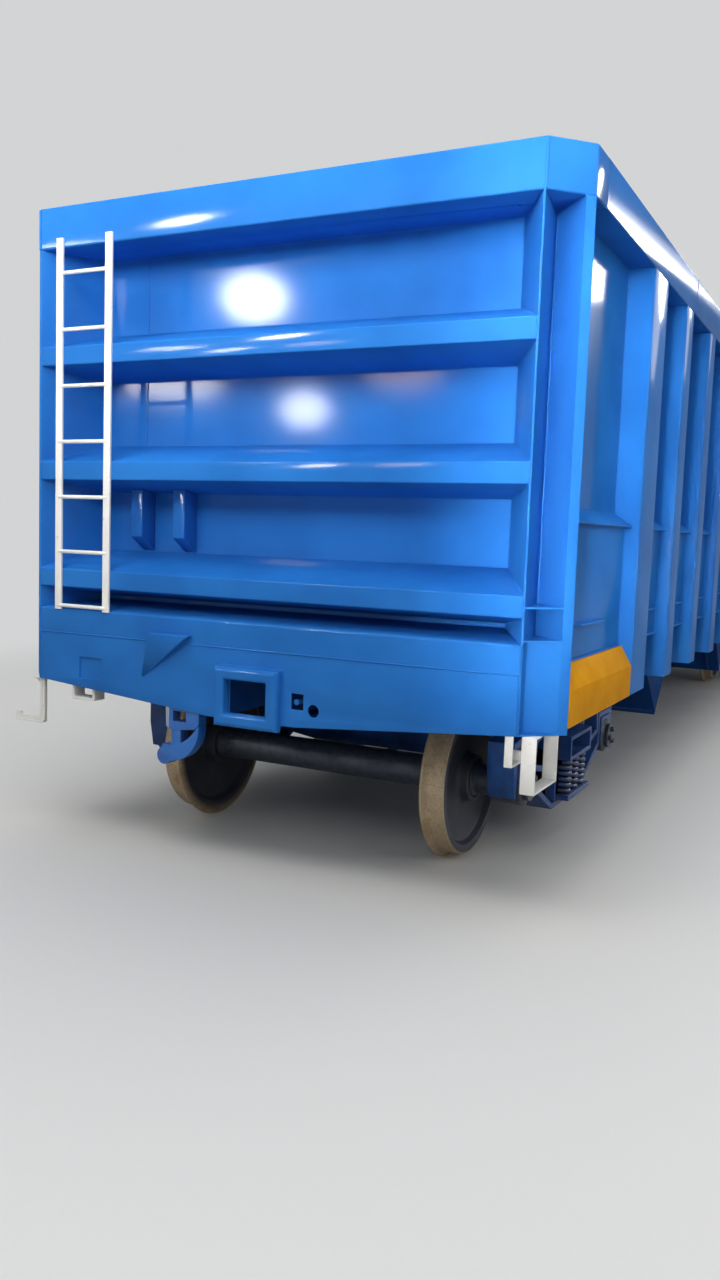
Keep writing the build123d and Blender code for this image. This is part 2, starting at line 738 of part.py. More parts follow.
def body_bolster():
    """Tapered hollow beam over the bogie, from the centre sill to the side sill."""
    outer = SIDE_FACE - SIDE_SILL_FLANGE
    inner = SILL_HALF
    wall = BOLSTER_WALL
    level = SILL_HALF + SILL_FLANGE + BODY_BOLSTER_LEVEL
    foot = SILL_BOTTOM + SILL_WALL
    tip = FLOOR_BOTTOM - BODY_BOLSTER_TIP
    outline = [(inner, foot), (level, foot), (outer, tip), (outer, FLOOR_BOTTOM), (inner, FLOOR_BOTTOM)]
    inside = [
        (inner - wall, foot + wall),
        (level, foot + wall),
        (outer + wall, tip + wall),
        (outer + wall, FLOOR_BOTTOM - wall),
        (inner - wall, FLOOR_BOTTOM - wall),
    ]
    half = BODY_BOLSTER_HALF
    beam = prism_y(outline, -BOGIE_Y - half, -BOGIE_Y + half)
    return beam - prism_y(inside, -BOGIE_Y - half + wall, -BOGIE_Y + half - wall)


def centre_plate():
    """Round plate and its boss under the centre sill."""
    y = -BOGIE_Y
    neck = SILL_BOTTOM - CENTRE_PLATE_THICK
    flange = rod((0, y, neck), (0, y, SILL_BOTTOM), CENTRE_PLATE_R)
    boss = rod((0, y, BOGIE_BOLSTER_TOP + BOWL_LIFT), (0, y, neck), BOWL_R - BOWL_CLEARANCE)
    return flange + boss


def floor_plate():
    """Level floor over a bogie, up to the hopper's slope sheet."""
    y0 = at_end(END_SHEET_DEPTH) + SHEET + 1
    y1 = -SLOPE_TOP_Y
    return block(-SIDE_INSIDE + 1, SIDE_INSIDE - 1, y0, y1, FLOOR_BOTTOM, FLOOR_TOP)


def cross_bearers():
    """Cross members between centre sill and side sill, beside the hopper mouths."""
    inner = SILL_HALF
    outer = SIDE_FACE - SIDE_SILL_WALL
    outline = [
        (inner, SILL_BOTTOM + BEARER_INNER_RISE),
        (outer, SIDE_SILL_BOTTOM + BEARER_OUTER_RISE),
        (outer, FLOOR_BOTTOM - SIDE_SILL_WALL),
        (inner, FLOOR_BOTTOM - SIDE_SILL_WALL),
    ]
    y = -SLOPE_TOP_Y - BEARER_OFFSET
    return four_corners(prism_y(outline, y - BEARER_HALF_PLATE, y + BEARER_HALF_PLATE))


# Hopper


def slope_sheet():
    """Sloping bottom of a chute half, from the floor's edge to the lip."""
    run = SLOPE_TOP_Y - LIP_Y
    drop = FLOOR_TOP - LIP_Z
    path = [(-SLOPE_TOP_Y - run, FLOOR_TOP + drop), (-LIP_Y, LIP_Z)]
    x0 = CHUTE_INNER + CHUTE_PLATE
    x1 = CHUTE_OUTER - CHUTE_PLATE
    plate = prism_x(bent_plate(path, -CHUTE_PLATE), x0, x1)
    return plate & block(x0, x1, -SLOPE_TOP_Y, 0, 0, FLOOR_TOP)


def chute_wall(x):
    """Upright wall of a chute half, with the lug that holds the door's pin."""
    rise = (RIDGE_PEAK_Z - RIDGE_FOOT_Z) / RIDGE_FOOT_Y
    slope = math.atan2(FLOOR_TOP - LIP_Z, SLOPE_TOP_Y - LIP_Y)
    outline = [
        (-SLOPE_TOP_Y, FLOOR_TOP),
        (-SLOPE_TOP_Y, FLOOR_TOP - CHUTE_PLATE / math.cos(slope)),
        (-LIP_Y - CHUTE_PLATE * math.sin(slope), LIP_Z - CHUTE_PLATE * math.cos(slope)),
        (-LIP_Y, LIP_Z),
        (-DOOR_TOP_Y, DOOR_TOP_Z),
        (-RIDGE_FOOT_Y, RIDGE_FOOT_Z - 2 * CHUTE_PLATE),
        (-RIDGE_FOOT_Y + (FLOOR_TOP - RIDGE_FOOT_Z) / rise, FLOOR_TOP),
    ]
    wall = prism_x(outline, x, x + CHUTE_PLATE)
    lug = rod((x, *DOOR_PIN), (x + CHUTE_PLATE, *DOOR_PIN), DOOR_LUG_R)
    hole = rod((x, *DOOR_PIN), (x + CHUTE_PLATE, *DOOR_PIN), DOOR_PIN_R)
    return wall + lug - hole


def hopper_ridges():
    """Ridge across the wagon between the two pockets, with the hood along the centre sill."""
    path = [(-RIDGE_FOOT_Y, RIDGE_FOOT_Z), (0, RIDGE_PEAK_Z), (RIDGE_FOOT_Y, RIDGE_FOOT_Z)]
    ridge = prism_x(bent_plate(path, -CHUTE_PLATE), -HALF_WIDTH, HALF_WIDTH)
    wall = CHUTE_OUTER - CHUTE_PLATE - 1
    side = SIDE_INSIDE - 1
    half = [(wall, 0), (wall, FLOOR_TOP), (side, SIDE_SLOPE_TOP), (side, BODY_TOP)]
    inside = half + [(-x, z) for x, z in half[::-1]]
    ridge = ridge & prism_y(inside, -SLOPE_TOP_Y, SLOPE_TOP_Y)
    slot = CHUTE_INNER + CHUTE_PLATE
    ridge -= block(-slot - 1, slot + 1, -SLOPE_TOP_Y, SLOPE_TOP_Y, 0, FLOOR_TOP)
    hood_path = [(-slot, FLOOR_TOP), (0, SILL_HOOD_PEAK), (slot, FLOOR_TOP)]
    hood = prism_y(bent_plate(hood_path, -CHUTE_PLATE), -SLOPE_TOP_Y, SLOPE_TOP_Y)
    hood &= block(-slot, slot, -SLOPE_TOP_Y, SLOPE_TOP_Y, FLOOR_TOP, BODY_TOP)
    return ridge + hood


def side_slope():
    """Plate that leads the load in from the side sheet to the chutes' outer walls."""
    foot = CHUTE_OUTER - CHUTE_PLATE
    slope = (SIDE_SLOPE_TOP - FLOOR_TOP) / (SIDE_INSIDE - foot)
    spare = STAKE_DEPTH
    path = [
        (SIDE_INSIDE + spare, SIDE_SLOPE_TOP + spare * slope),
        (foot - spare, FLOOR_TOP - spare * slope),
    ]
    plate = prism_y(bent_plate(path, CHUTE_PLATE), -SLOPE_TOP_Y, SLOPE_TOP_Y)
    room = block(0, SIDE_INSIDE, -SLOPE_TOP_Y, SLOPE_TOP_Y, FLOOR_TOP, SIDE_SLOPE_TOP)
    return plate & room


def door():
    """Inclined door of the -Y, +X chute half, with its knuckle tube and outside ribs.

    It is drawn level, running towards -Y from its pin, and then tilted about the pin."""
    length = math.hypot(LIP_Y - DOOR_TOP_Y, DOOR_TOP_Z - LIP_Z) + DOOR_PIN_SET + DOOR_LIP
    half_plate = DOOR_PLATE / 2
    lug_clear = DOOR_LUG_R + 10
    x0 = CHUTE_INNER + CHUTE_PLATE + DOOR_SIDE_GAP
    x1 = CHUTE_OUTER - CHUTE_PLATE - DOOR_SIDE_GAP
    leaf = block(CHUTE_INNER, CHUTE_OUTER, -length, -lug_clear, -half_plate, half_plate)
    leaf += block(x0, x1, -lug_clear, 0, -half_plate, half_plate)
    leaf += rod((x0, 0, 0), (x1, 0, 0), DOOR_KNUCKLE_R)
    rib = [
        (-length + DOOR_PLATE, -half_plate),
        (-length + DOOR_RIB, -DOOR_RIB),
        (-lug_clear, -DOOR_RIB),
        (0, -half_plate),
    ]
    for share in DOOR_RIB_SHARES:
        x = x0 + share * (x1 - x0)
        leaf += prism_x(rib, x - half_plate, x + half_plate)
    leaf -= rod((x0, 0, 0), (x1, 0, 0), DOOR_PIN_R + PIN_CLEARANCE)
    return Pos(0, *DOOR_PIN) * Rot(math.degrees(DOOR_ANGLE), 0, 0) * leaf


def door_pin():
    start = (CHUTE_INNER - DOOR_PIN_OVERHANG, *DOOR_PIN)
    return rod(start, (CHUTE_OUTER + DOOR_PIN_OVERHANG, *DOOR_PIN), DOOR_PIN_R)


# End fittings


def ladder():
    """Ladder of two flat stringers with round rungs between them."""
    y0 = at_end(-LADDER_BAR)
    y1 = at_end(0)
    half = LADDER_WIDTH / 2
    left = -LADDER_OUTER_X
    right = left + LADDER_SPACING
    whole = block(left - half, left + half, y0, y1, LADDER_BOTTOM, LADDER_TOP)
    whole += block(right - half, right + half, y0, y1, LADDER_BOTTOM, LADDER_TOP)
    y = (y0 + y1) / 2
    for i in range(RUNG_COUNT):
        z = LADDER_BOTTOM + RUNG_FIRST + i * RUNG_PITCH
        whole += rod((left, y, z), (right, y, z), RUNG_R)
    return whole


def j_step():
    """Flat bar bent into a J, hung under the left post's foot and open to the side."""
    low = POST_BOTTOM - STEP_DROP
    path = [
        (-J_STEP_LEG_X - STEP_TAB, POST_BOTTOM),
        (-J_STEP_LEG_X, POST_BOTTOM),
        (-J_STEP_LEG_X, low),
        (-J_STEP_TIP_X, low),
        (-J_STEP_TIP_X, low + J_STEP_TURN_UP),
    ]
    y = at_end(J_STEP_DEPTH)
    return prism_y(bent_plate(path, -STEP_BAR), y, y + J_STEP_WIDTH)


def u_step():
    """Wide forged loop behind the left half of the headstock."""
    path = [
        (-U_STEP_X[0], U_STEP_HEAD),
        (-U_STEP_X[0], U_STEP_BOTTOM),
        (-U_STEP_X[1], U_STEP_BOTTOM),
        (-U_STEP_X[1], U_STEP_HEAD),
    ]
    y = at_end(HEADSTOCK_PLATE + BACKING_PLATE)
    return prism_y(bent_plate(path, U_STEP_BAR), y, y + U_STEP_DEPTH)


def big_stirrup():
    """Stirrup loop under the right corner, from the post's foot back to the side sill."""
    front, back = (at_end(depth) for depth in BIG_STIRRUP_DEPTH)
    low = POST_BOTTOM - STEP_DROP
    path = [
        (front + BIG_STIRRUP_TAB, POST_BOTTOM),
        (front, POST_BOTTOM),
        (front, low),
        (back, low),
        (back, SIDE_SILL_BOTTOM),
        (back - BIG_STIRRUP_TAB, SIDE_SILL_BOTTOM),
    ]
    return prism_x(bent_plate(path, STEP_BAR), *BIG_STIRRUP_X)


def small_stirrup():
    """Small hanger behind the right end of the headstock, turned up at its rear."""
    front = at_end(HEADSTOCK_PLATE)
    back = front + SMALL_STIRRUP_DEPTH
    path = [
        (front, SMALL_STIRRUP_HEAD),
        (front, SMALL_STIRRUP_BOTTOM),
        (back, SMALL_STIRRUP_BOTTOM),
        (back, SMALL_STIRRUP_BOTTOM + SMALL_STIRRUP_TURN_UP),
    ]
    return prism_x(bent_plate(path, STEP_BAR), *SMALL_STIRRUP_X)


def handle(x, foot_x, start, end):
    """Round bar handle between two (y, z) points, with a leg to the body at each."""
    bar = rod((x, *start), (x, *end), GRAB_R)
    for place in (start, end):
        bar += rod((x, *place), (foot_x, *place), GRAB_R)
        bar += Pos(x, *place) * Sphere(GRAB_R)
    return bar


def grab_irons():
    """Handles on the left side by the corner: one upright and two level."""
    start = at_end(GRAB_START)
    end = at_end(GRAB_END)
    handles = [handle(-HALF_WIDTH - GRAB_OUT, -SIDE_FACE, (start, GRAB_LOW), (start, GRAB_HIGH))]
    for z in GRAB_IRON_LEVELS:
        handles.append(handle(-HALF_WIDTH - GRAB_IRON_OUT, -PANEL_FACE, (start, z), (end, z)))
    return handles


def tow_hook():
    """Cast hook behind the headstock: body with a square hole, web and crescent."""
    front, back = (at_end(depth) for depth in HOOK_BODY_DEPTH)
    left = min(x for x, z in HOOK_BODY)
    right = max(x for x, z in HOOK_BODY)
    plan = [(HOOK_CHAMFER_X, front), (right, front), (right, back), (left, back)]
    body = prism_y(HOOK_BODY, front, back) & prism_z(plan, 0, HEADSTOCK_TOP)
    body -= block(*HOOK_HOLE_X, front, back, *HOOK_HOLE_Z)

    crescent = Pos(*HOOK_OUTER[:2]) * Circle(HOOK_OUTER[2])
    crescent -= Pos(*HOOK_INNER[:2]) * Circle(HOOK_INNER[2])
    crescent &= Pos(HOOK_TIP_X + HOOK_OUTER[2], HOOK_OUTER[1]) * Rectangle(
        2 * HOOK_OUTER[2], 2 * HOOK_OUTER[2]
    )
    crescent += Pos(*HOOK_TIP[:2]) * Circle(HOOK_TIP[2])
    y0, y1 = (at_end(depth) for depth in HOOK_DEPTH)
    hook = extrude(Plane.XZ.offset(-y1) * crescent, amount=y1 - y0)
    web = block(*HOOK_WEB_X, y0, y1, HOOK_TIP[1], HOOK_HOLE_Z[0])
    return body + hook + web


def uprights():
    """Two plates under the middle rib, tapered at the foot."""
    front = at_end(END_SHEET_DEPTH - UPRIGHT_DEPTH)
    back = at_end(END_SHEET_DEPTH)
    rib_back = RIB_BOTTOMS[1] - RIB_DROP
    outline = [
        (back, UPRIGHT_BOTTOM),
        (back, rib_back),
        (front, rib_back + RIB_DROP * UPRIGHT_DEPTH / END_SHEET_DEPTH),
        (front, UPRIGHT_BOTTOM + UPRIGHT_TAPER),
    ]
    half = UPRIGHT_WIDTH / 2
    return [prism_x(outline, x - half, x + half) for x in UPRIGHT_X]


def wedge():
    """Gusset over the headstock's seam that slopes down and back to the left."""
    front = [(WEDGE_RIGHT_X, WEDGE_TOP_Z), (WEDGE_LEFT_X, WEDGE_TOP_Z), (WEDGE_TIP_X, WEDGE_TIP_Z)]
    side = [
        (at_end(0), WEDGE_TIP_Z),
        (at_end(-WEDGE_OUT), WEDGE_BAND_Z),
        (at_end(-WEDGE_OUT), WEDGE_TOP_Z),
        (at_end(0), WEDGE_TOP_Z),
    ]
    return prism_y(front, at_end(-WEDGE_OUT), at_end(0)) & prism_x(side, WEDGE_TIP_X, WEDGE_RIGHT_X)


# Bogies


def wheel():
    """Flanged wheel, its back towards the centre line, on the +X end of the axle at the origin."""
    tread_x = BACK_HALF + RIM_WIDTH
    flange_x = BACK_HALF + FLANGE_THICKNESS
    rim_r = WHEEL_R - RIM_THICKNESS
    web_x = BACK_HALF + RIM_WIDTH / 2
    hub_x0 = web_x - HUB_WIDTH / 2
    hub_x1 = web_x + HUB_WIDTH / 2
    half_web = WEB_THICKNESS / 2
    outline = [
        (BACK_HALF, rim_r),
        (BACK_HALF, FLANGE_R - 1.5 * FLANGE_TIP),
        (BACK_HALF + FLANGE_TIP, FLANGE_R),
        (BACK_HALF + 2 * FLANGE_TIP, FLANGE_R),
        (flange_x, WHEEL_R + FLANGE_TIP),
        (flange_x + FLANGE_TIP, WHEEL_R),
        (tread_x, WHEEL_R - FLANGE_TIP / 2),
        (tread_x, rim_r),
        (web_x + half_web + 2 * WEB_DISH, rim_r - 2 * WEB_DISH),
        (web_x + half_web + WEB_DISH, HUB_R + HUB_FILLET),
        (hub_x1, HUB_R),
        (hub_x1, SEAT_R),
        (hub_x0, SEAT_R),
        (hub_x0, HUB_R),
        (web_x - half_web + WEB_DISH, HUB_R + HUB_FILLET),
        (web_x - half_web - 2 * WEB_DISH, rim_r - 2 * WEB_DISH),
    ]
    face = make_face(Polyline(*outline, close=True))
    return revolve(face, axis=Axis.X)


def axle():
    """Axle with wheel seats, journals and their end caps."""
    web_x = BACK_HALF + RIM_WIDTH / 2
    seat0 = web_x - HUB_WIDTH / 2
    seat1 = web_x + HUB_WIDTH / 2
    collar_r = JOURNAL_R + JOURNAL_COLLAR
    bearing0 = JOURNAL_HALF - BEARING_WIDTH / 2 - JOURNAL_COLLAR / 2
    bearing1 = JOURNAL_HALF + BEARING_WIDTH / 2 + JOURNAL_COLLAR / 2
    cap = bearing1 + AXLE_END_CAP
    outline = [
        (0, 0),
        (0, AXLE_R),
        (seat0 - 4 * (SEAT_R - AXLE_R), AXLE_R),
        (seat0, SEAT_R),
        (seat1, SEAT_R),
        (seat1 + JOURNAL_COLLAR, collar_r),
        (bearing0, collar_r),
        (bearing0, JOURNAL_R),
        (bearing1, JOURNAL_R),
        (bearing1, collar_r),
        (cap, collar_r - JOURNAL_COLLAR / 2),
        (cap, 0),
    ]
    face = make_face(Polyline(*outline, close=True))
    half = revolve(face, axis=Axis.X)
    return half + mirror(half, about=Plane.YZ)


def side_frame():
    """Cast side frame on the +X side: a web with rims round its outline and windows."""
    inner = SEAT_Y - PEDESTAL_HALF
    outer = SEAT_Y + PEDESTAL_HALF
    tip = outer + FRAME_END_LENGTH
    foot_z = AXLE_Z - FRAME_FOOT_DROP
    belly_z = AXLE_Z - FRAME_BELLY_DROP
    half = [
        (0, AXLE_Z + FRAME_TOP_RISE),
        (WINDOW_HALF + 95, AXLE_Z + FRAME_TOP_RISE),
        (inner + 15, AXLE_Z + FRAME_SHOULDER_RISE),
        (tip, AXLE_Z + FRAME_END_RISE),
        (tip, PEDESTAL_ROOF - FRAME_RIM_THICK),
        (tip - 30, foot_z),
        (outer, foot_z),
        (outer, PEDESTAL_ROOF),
        (inner, PEDESTAL_ROOF),
        (inner, foot_z),
        (inner - 145, foot_z - 60),
        (WINDOW_HALF + 75, belly_z),
        (0, belly_z),
    ]
    window = [
        (WINDOW_HALF + 95, AXLE_Z + 3),
        (WINDOW_HALF + 95, AXLE_Z + FRAME_TOP_RISE - 110),
        (inner - 105, AXLE_Z + FRAME_SHOULDER_RISE - 105),
        (inner - 80, AXLE_Z + 73),
    ]
    spring_window = [
        (-WINDOW_HALF, SPRING_SEAT_Z),
        (WINDOW_HALF, SPRING_SEAT_Z),
        (WINDOW_HALF, AXLE_Z + WINDOW_TOP_RISE),
        (-WINDOW_HALF, AXLE_Z + WINDOW_TOP_RISE),
    ]
    face = make_face(Polyline(*half, *[(-y, z) for y, z in half[::-1][1:-1]], close=True))
    face -= make_face(Polyline(*spring_window, close=True))
    for side in (1, -1):
        face -= make_face(Polyline(*[(side * y, z) for y, z in window], close=True))
    rims = face - offset(face, amount=-FRAME_RIM_THICK, kind=Kind.INTERSECTION)

    def cast(sketch, width):
        return extrude(Plane.YZ.offset(JOURNAL_HALF - width / 2) * sketch, amount=width)

    frame = cast(face, FRAME_WEB) + cast(rims, FRAME_RIM)
    seat_x = (JOURNAL_HALF - SPRING_SEAT_HALF_WIDTH, JOURNAL_HALF + SPRING_SEAT_HALF_WIDTH)
    seat_z = (SPRING_SEAT_Z - SPRING_SEAT_PLATE, SPRING_SEAT_Z)
    return frame + block(*seat_x, -WINDOW_HALF, WINDOW_HALF, *seat_z)


def bogie_bolster():
    """Hollow cast bolster through both side frames, with the centre bowl on top."""
    top = BOGIE_BOLSTER_TOP - BOWL_RIM
    knee = JOURNAL_HALF - SPRING_SEAT_HALF_WIDTH
    outer = BOGIE_BOLSTER_END
    tip_top = AXLE_Z + WINDOW_TOP_RISE - 120
    half = [
        (0, BOGIE_BOLSTER_BOTTOM),
        (knee / 2, BOGIE_BOLSTER_BOTTOM),
        (knee, BOLSTER_SEAT_Z),
        (outer, BOLSTER_SEAT_Z),
        (outer, tip_top),
        (knee, tip_top + 30),
        (2 * BOWL_R, top),
        (0, top),
    ]
    width = WINDOW_HALF - BOGIE_BOLSTER_GAP
    wall = BOGIE_BOLSTER_WALL
    beam = prism_y(half + [(-x, z) for x, z in half[::-1][1:-1]], -width, width)
    inside = [(x, z + wall) for x, z in half[:4]] + [(x, z - wall) for x, z in half[4:]]
    inside[3] = (outer + wall, inside[3][1])
    inside[4] = (outer + wall, inside[4][1])
    core = prism_y(inside + [(-x, z) for x, z in inside[::-1][1:-1]], -width + wall, width - wall)
    beam -= core
    core_z = (BOGIE_BOLSTER_BOTTOM + top) / 2
    for x in (-knee / 2, knee / 2):
        beam -= rod((x, -width, core_z), (x, width, core_z), CORE_HOLE_R)
    bowl_z = BOGIE_BOLSTER_TOP + BOWL_DEPTH
    bowl = rod((0, 0, top), (0, 0, bowl_z), BOWL_R + BOWL_RIM)
    bowl -= rod((0, 0, BOGIE_BOLSTER_TOP), (0, 0, bowl_z), BOWL_R)
    return beam + bowl


def springs():
    """Spring group on one side frame's seat, two across and three along."""
    height = BOLSTER_SEAT_Z - SPRING_SEAT_Z
    turn = height / SPRING_COIL_COUNT
    outline = [(0, 0), (SPRING_R, 0)]
    for i in range(SPRING_COIL_COUNT):
        outline.append((SPRING_R, (i + 0.55) * turn))
        outline.append((SPRING_WAIST, (i + 0.7) * turn))
        outline.append((SPRING_WAIST, (i + 0.85) * turn))
        outline.append((SPRING_R, (i + 1) * turn))
    outline.append((0, height))
    stack = revolve(Plane.XZ * make_face(Polyline(*outline, close=True)), axis=Axis.Z)
    group = []
    for i in (-0.5, 0.5):
        for j in (-1, 0, 1):
            x = JOURNAL_HALF + i * SPRING_PITCH
            group.append(Pos(x, j * SPRING_PITCH, SPRING_SEAT_Z) * stack)
    return group


def adapter(y):
    """Saddle between a bearing and the side frame's pedestal roof."""
    half = FRAME_RIM / 2 + BRACKET_PLATE / 2
    side = PEDESTAL_HALF - BOGIE_BOLSTER_GAP
    x0 = JOURNAL_HALF - half
    x1 = JOURNAL_HALF + half
    body = block(x0, x1, y - side, y + side, AXLE_Z + 0.4 * BEARING_R, PEDESTAL_ROOF)
    return body - rod((x0, y, AXLE_Z), (x1, y, AXLE_Z), BEARING_R)


def bearing(y):
    """Package bearing round the journal."""
    x0 = JOURNAL_HALF - BEARING_WIDTH / 2
    x1 = JOURNAL_HALF + BEARING_WIDTH / 2
    cup = rod((x0, y, AXLE_Z), (x1, y, AXLE_Z), BEARING_R)
    return cup - rod((x0, y, AXLE_Z), (x1, y, AXLE_Z), JOURNAL_R + PIN_CLEARANCE)


def brake_beam(side):
    """Brake beam with a shoe for each wheel, on the bolster's side of one axle."""
    axle_y = side * SEAT_Y
    inner = WHEEL_R + SHOE_GAP
    outer = inner + SHOE_THICK
    beam_y = axle_y - side * (outer + BEAM_HALF / 2)
    reach = JOURNAL_HALF - FRAME_RIM / 2
    beam = block(
        -reach, reach, beam_y - BEAM_HALF, beam_y + BEAM_HALF, BEAM_Z - BEAM_HALF, BEAM_Z + BEAM_HALF
    )
    middle = BACK_HALF + (FLANGE_THICKNESS + RIM_WIDTH) / 2 + FLANGE_TIP
    x0 = middle - SHOE_WIDTH / 2
    x1 = middle + SHOE_WIDTH / 2
    ring = rod((x0, axle_y, AXLE_Z), (x1, axle_y, AXLE_Z), outer)
    ring -= rod((x0, axle_y, AXLE_Z), (x1, axle_y, AXLE_Z), inner)
    near = axle_y - side * inner * 0.80
    far = axle_y - side * (outer + BEAM_HALF)
    shoe = ring & block(x0, x1, min(near, far), max(near, far), AXLE_Z - SHOE_DROP, AXLE_Z + SHOE_RISE)
    return beam + both_sides(shoe)


def brake_cylinder():
    """Brake cylinder with its piston rod and its bracket to the centre sill."""
    x = CYLINDER_X
    z = CYLINDER_Z
    half = CYLINDER_HALF
    body = rod((x, -half, z), (x, half, z), CYLINDER_R)
    body += rod((x, half, z), (x, half + CYLINDER_FLANGE, z), CYLINDER_R + CYLINDER_FLANGE)
    body += rod((x, half, z), (x, PISTON_REACH, z), PISTON_R)
    half_plate = BRACKET_PLATE / 2
    bracket = block(SILL_HALF, x, -CYLINDER_R, CYLINDER_R, z - half_plate, z + half_plate)
    return body + bracket


def reservoir():
    """Hollow air reservoir with domed ends and brackets to the centre sill."""
    x = -RESERVOIR_X
    z = RESERVOIR_Z
    wall = RESERVOIR_WALL
    full = [(0, 0), (RESERVOIR_R - RESERVOIR_DOME, 0), (RESERVOIR_R, RESERVOIR_DOME)]
    length = 2 * (RESERVOIR_HALF + RESERVOIR_DOME)
    outline = full + [(r, length - y) for r, y in full[::-1]]
    shell = revolve(make_face(Polyline(*outline, close=True)), axis=Axis.Y)
    hollow = [(0, wall), (RESERVOIR_R - RESERVOIR_DOME, wall), (RESERVOIR_R - wall, RESERVOIR_DOME)]
    outline = hollow + [(r, length - y) for r, y in hollow[::-1]]
    shell -= revolve(make_face(Polyline(*outline, close=True)), axis=Axis.Y)
    tank = Pos(x, -length / 2, z) * shell
    tank -= rod((x, 0, z - RESERVOIR_R - wall), (x, 0, z), RESERVOIR_DRAIN_R)
    half_plate = BRACKET_PLATE / 2
    foot = x + RESERVOIR_R - wall / 2
    for y in (-RESERVOIR_HALF / 2, RESERVOIR_HALF / 2):
        y0 = y - 2 * BRACKET_PLATE
        y1 = y + 2 * BRACKET_PLATE
        tank += block(foot, -SILL_HALF, y0, y1, z - half_plate, z + half_plate)
    return tank


def write(name, solids):
    """One STEP file for a sub-part, from a solid or a list of them."""
    if not isinstance(solids, list):
        solids = [solids]
    flat = [s for shape in solids for s in shape.solids()]
    shape = flat[0] if len(flat) == 1 else Compound(children=flat)
    export_step(shape, f"parts/{name}.step")


def write_body():
    write("end_sheets", both_ends(end_sheet()))
    write("end_ribs", [copy for z in RIB_BOTTOMS for copy in both_ends(end_rib(z))])
    write("end_caps", both_ends(end_cap()))
    write("side_sheets", both_sides(side_sheet()))
    write("top_chord_sides", both_sides(side_chord()))
    write("top_chord_ends", both_ends(end_chord()))
    write("corner_posts", four_corners(corner_post()))
    write("side_stakes", [copy for place in stake_places() for copy in both_sides(stake(*place))])
    write("lower_panels", both_sides(lower_panel()))
    write("corner_boxes", four_corners(corner_box()))


def write_underframe():
    write("centre_sill", centre_sill())
    write("side_sills", both_sides(side_sill()))
    write("headstocks", both_diagonals(headstock()))
    write("strikers", both_ends(striker()))
    write("body_bolsters", four_corners(body_bolster()))
    write("centre_plates", both_ends(centre_plate()))
    write("floor_plates", both_ends(floor_plate()))
    write("cross_bearers", cross_bearers())
    write("brake_cylinder", brake_cylinder())
    write("air_reservoir", reservoir())


def write_hopper():
    write("slope_sheets", four_corners(slope_sheet()))
    walls = [chute_wall(CHUTE_INNER), chute_wall(CHUTE_OUTER - CHUTE_PLATE)]
    write("chute_walls", [copy for wall in walls for copy in four_corners(wall)])
    write("hopper_ridges", hopper_ridges())
    write("side_slopes", both_sides(side_slope()))
    write("door_pins", four_corners(door_pin()))
    for end, leaf in zip(("front", "rear"), both_ends(door())):
        for side, copy in zip(("right", "left"), both_sides(leaf)):
            write(f"door_{end}_{side}", copy)


def write_fittings():
    write("ladders", both_diagonals(ladder()))
    steps = [j_step(), u_step(), big_stirrup(), small_stirrup()]
    write("steps", [copy for step in steps for copy in both_diagonals(step)])
    write("grab_irons", [copy for iron in grab_irons() for copy in both_diagonals(iron)])
    write("tow_hooks", both_diagonals(tow_hook()))
    brackets = uprights() + [wedge()]
    write("end_brackets", [copy for piece in brackets for copy in both_diagonals(piece)])


def write_bogie(end, centre, first_axle):
    place = Pos(0, centre, 0)
    seats = (-SEAT_Y, SEAT_Y)
    write(f"side_frames_{end}", [place * s for s in both_sides(side_frame())])
    write(f"bogie_bolster_{end}", place * bogie_bolster())
    write(f"springs_{end}", [place * s for one in springs() for s in both_sides(one)])
    write(f"adapters_{end}", [place * s for y in seats for s in both_sides(adapter(y))])
    write(f"bearings_{end}", [place * s for y in seats for s in both_sides(bearing(y))])
    write(f"brake_beams_{end}", [place * brake_beam(side) for side in (-1, 1)])
    for i, y in enumerate(seats):
        at = Pos(0, centre + y, AXLE_Z)
        write(f"axle_{first_axle + i}", at * axle())
        write(f"wheels_{first_axle + i}", [at * s for s in both_sides(wheel())])


def main():
    os.makedirs("parts", exist_ok=True)
    write_body()
    write_underframe()
    write_hopper()
    write_fittings()
    write_bogie("front", -BOGIE_Y, 1)
    write_bogie("rear", BOGIE_Y, 3)


main()
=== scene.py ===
# %% [markdown]
# # An open hopper wagon
# This lesson dresses a railway wagon for bulk loads: a welded steel body in glossy blue enamel,
# two cast bogies and four wheelsets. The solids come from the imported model, at full size and in
# metres, with X across the wagon, Y along the track and Z up. The photographed end is at -Y.
# Everything added here sits on those solids.

# %% Load the frame
import json
import math

import bmesh
import bpy
from mathutils import Matrix, Vector


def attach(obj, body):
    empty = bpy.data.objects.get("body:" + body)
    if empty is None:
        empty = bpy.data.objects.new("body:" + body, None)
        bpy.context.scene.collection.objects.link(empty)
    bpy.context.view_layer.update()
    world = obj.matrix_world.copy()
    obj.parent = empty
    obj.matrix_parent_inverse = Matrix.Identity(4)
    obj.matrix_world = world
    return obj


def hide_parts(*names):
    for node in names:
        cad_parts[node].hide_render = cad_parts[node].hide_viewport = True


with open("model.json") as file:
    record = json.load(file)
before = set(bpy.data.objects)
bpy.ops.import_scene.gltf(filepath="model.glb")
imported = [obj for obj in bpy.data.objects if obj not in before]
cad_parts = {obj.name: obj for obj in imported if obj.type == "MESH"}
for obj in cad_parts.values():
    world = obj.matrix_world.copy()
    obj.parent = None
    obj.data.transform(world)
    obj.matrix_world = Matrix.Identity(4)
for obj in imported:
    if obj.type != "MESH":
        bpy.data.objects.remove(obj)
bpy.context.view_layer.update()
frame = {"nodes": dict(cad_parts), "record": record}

nodes = frame["nodes"]

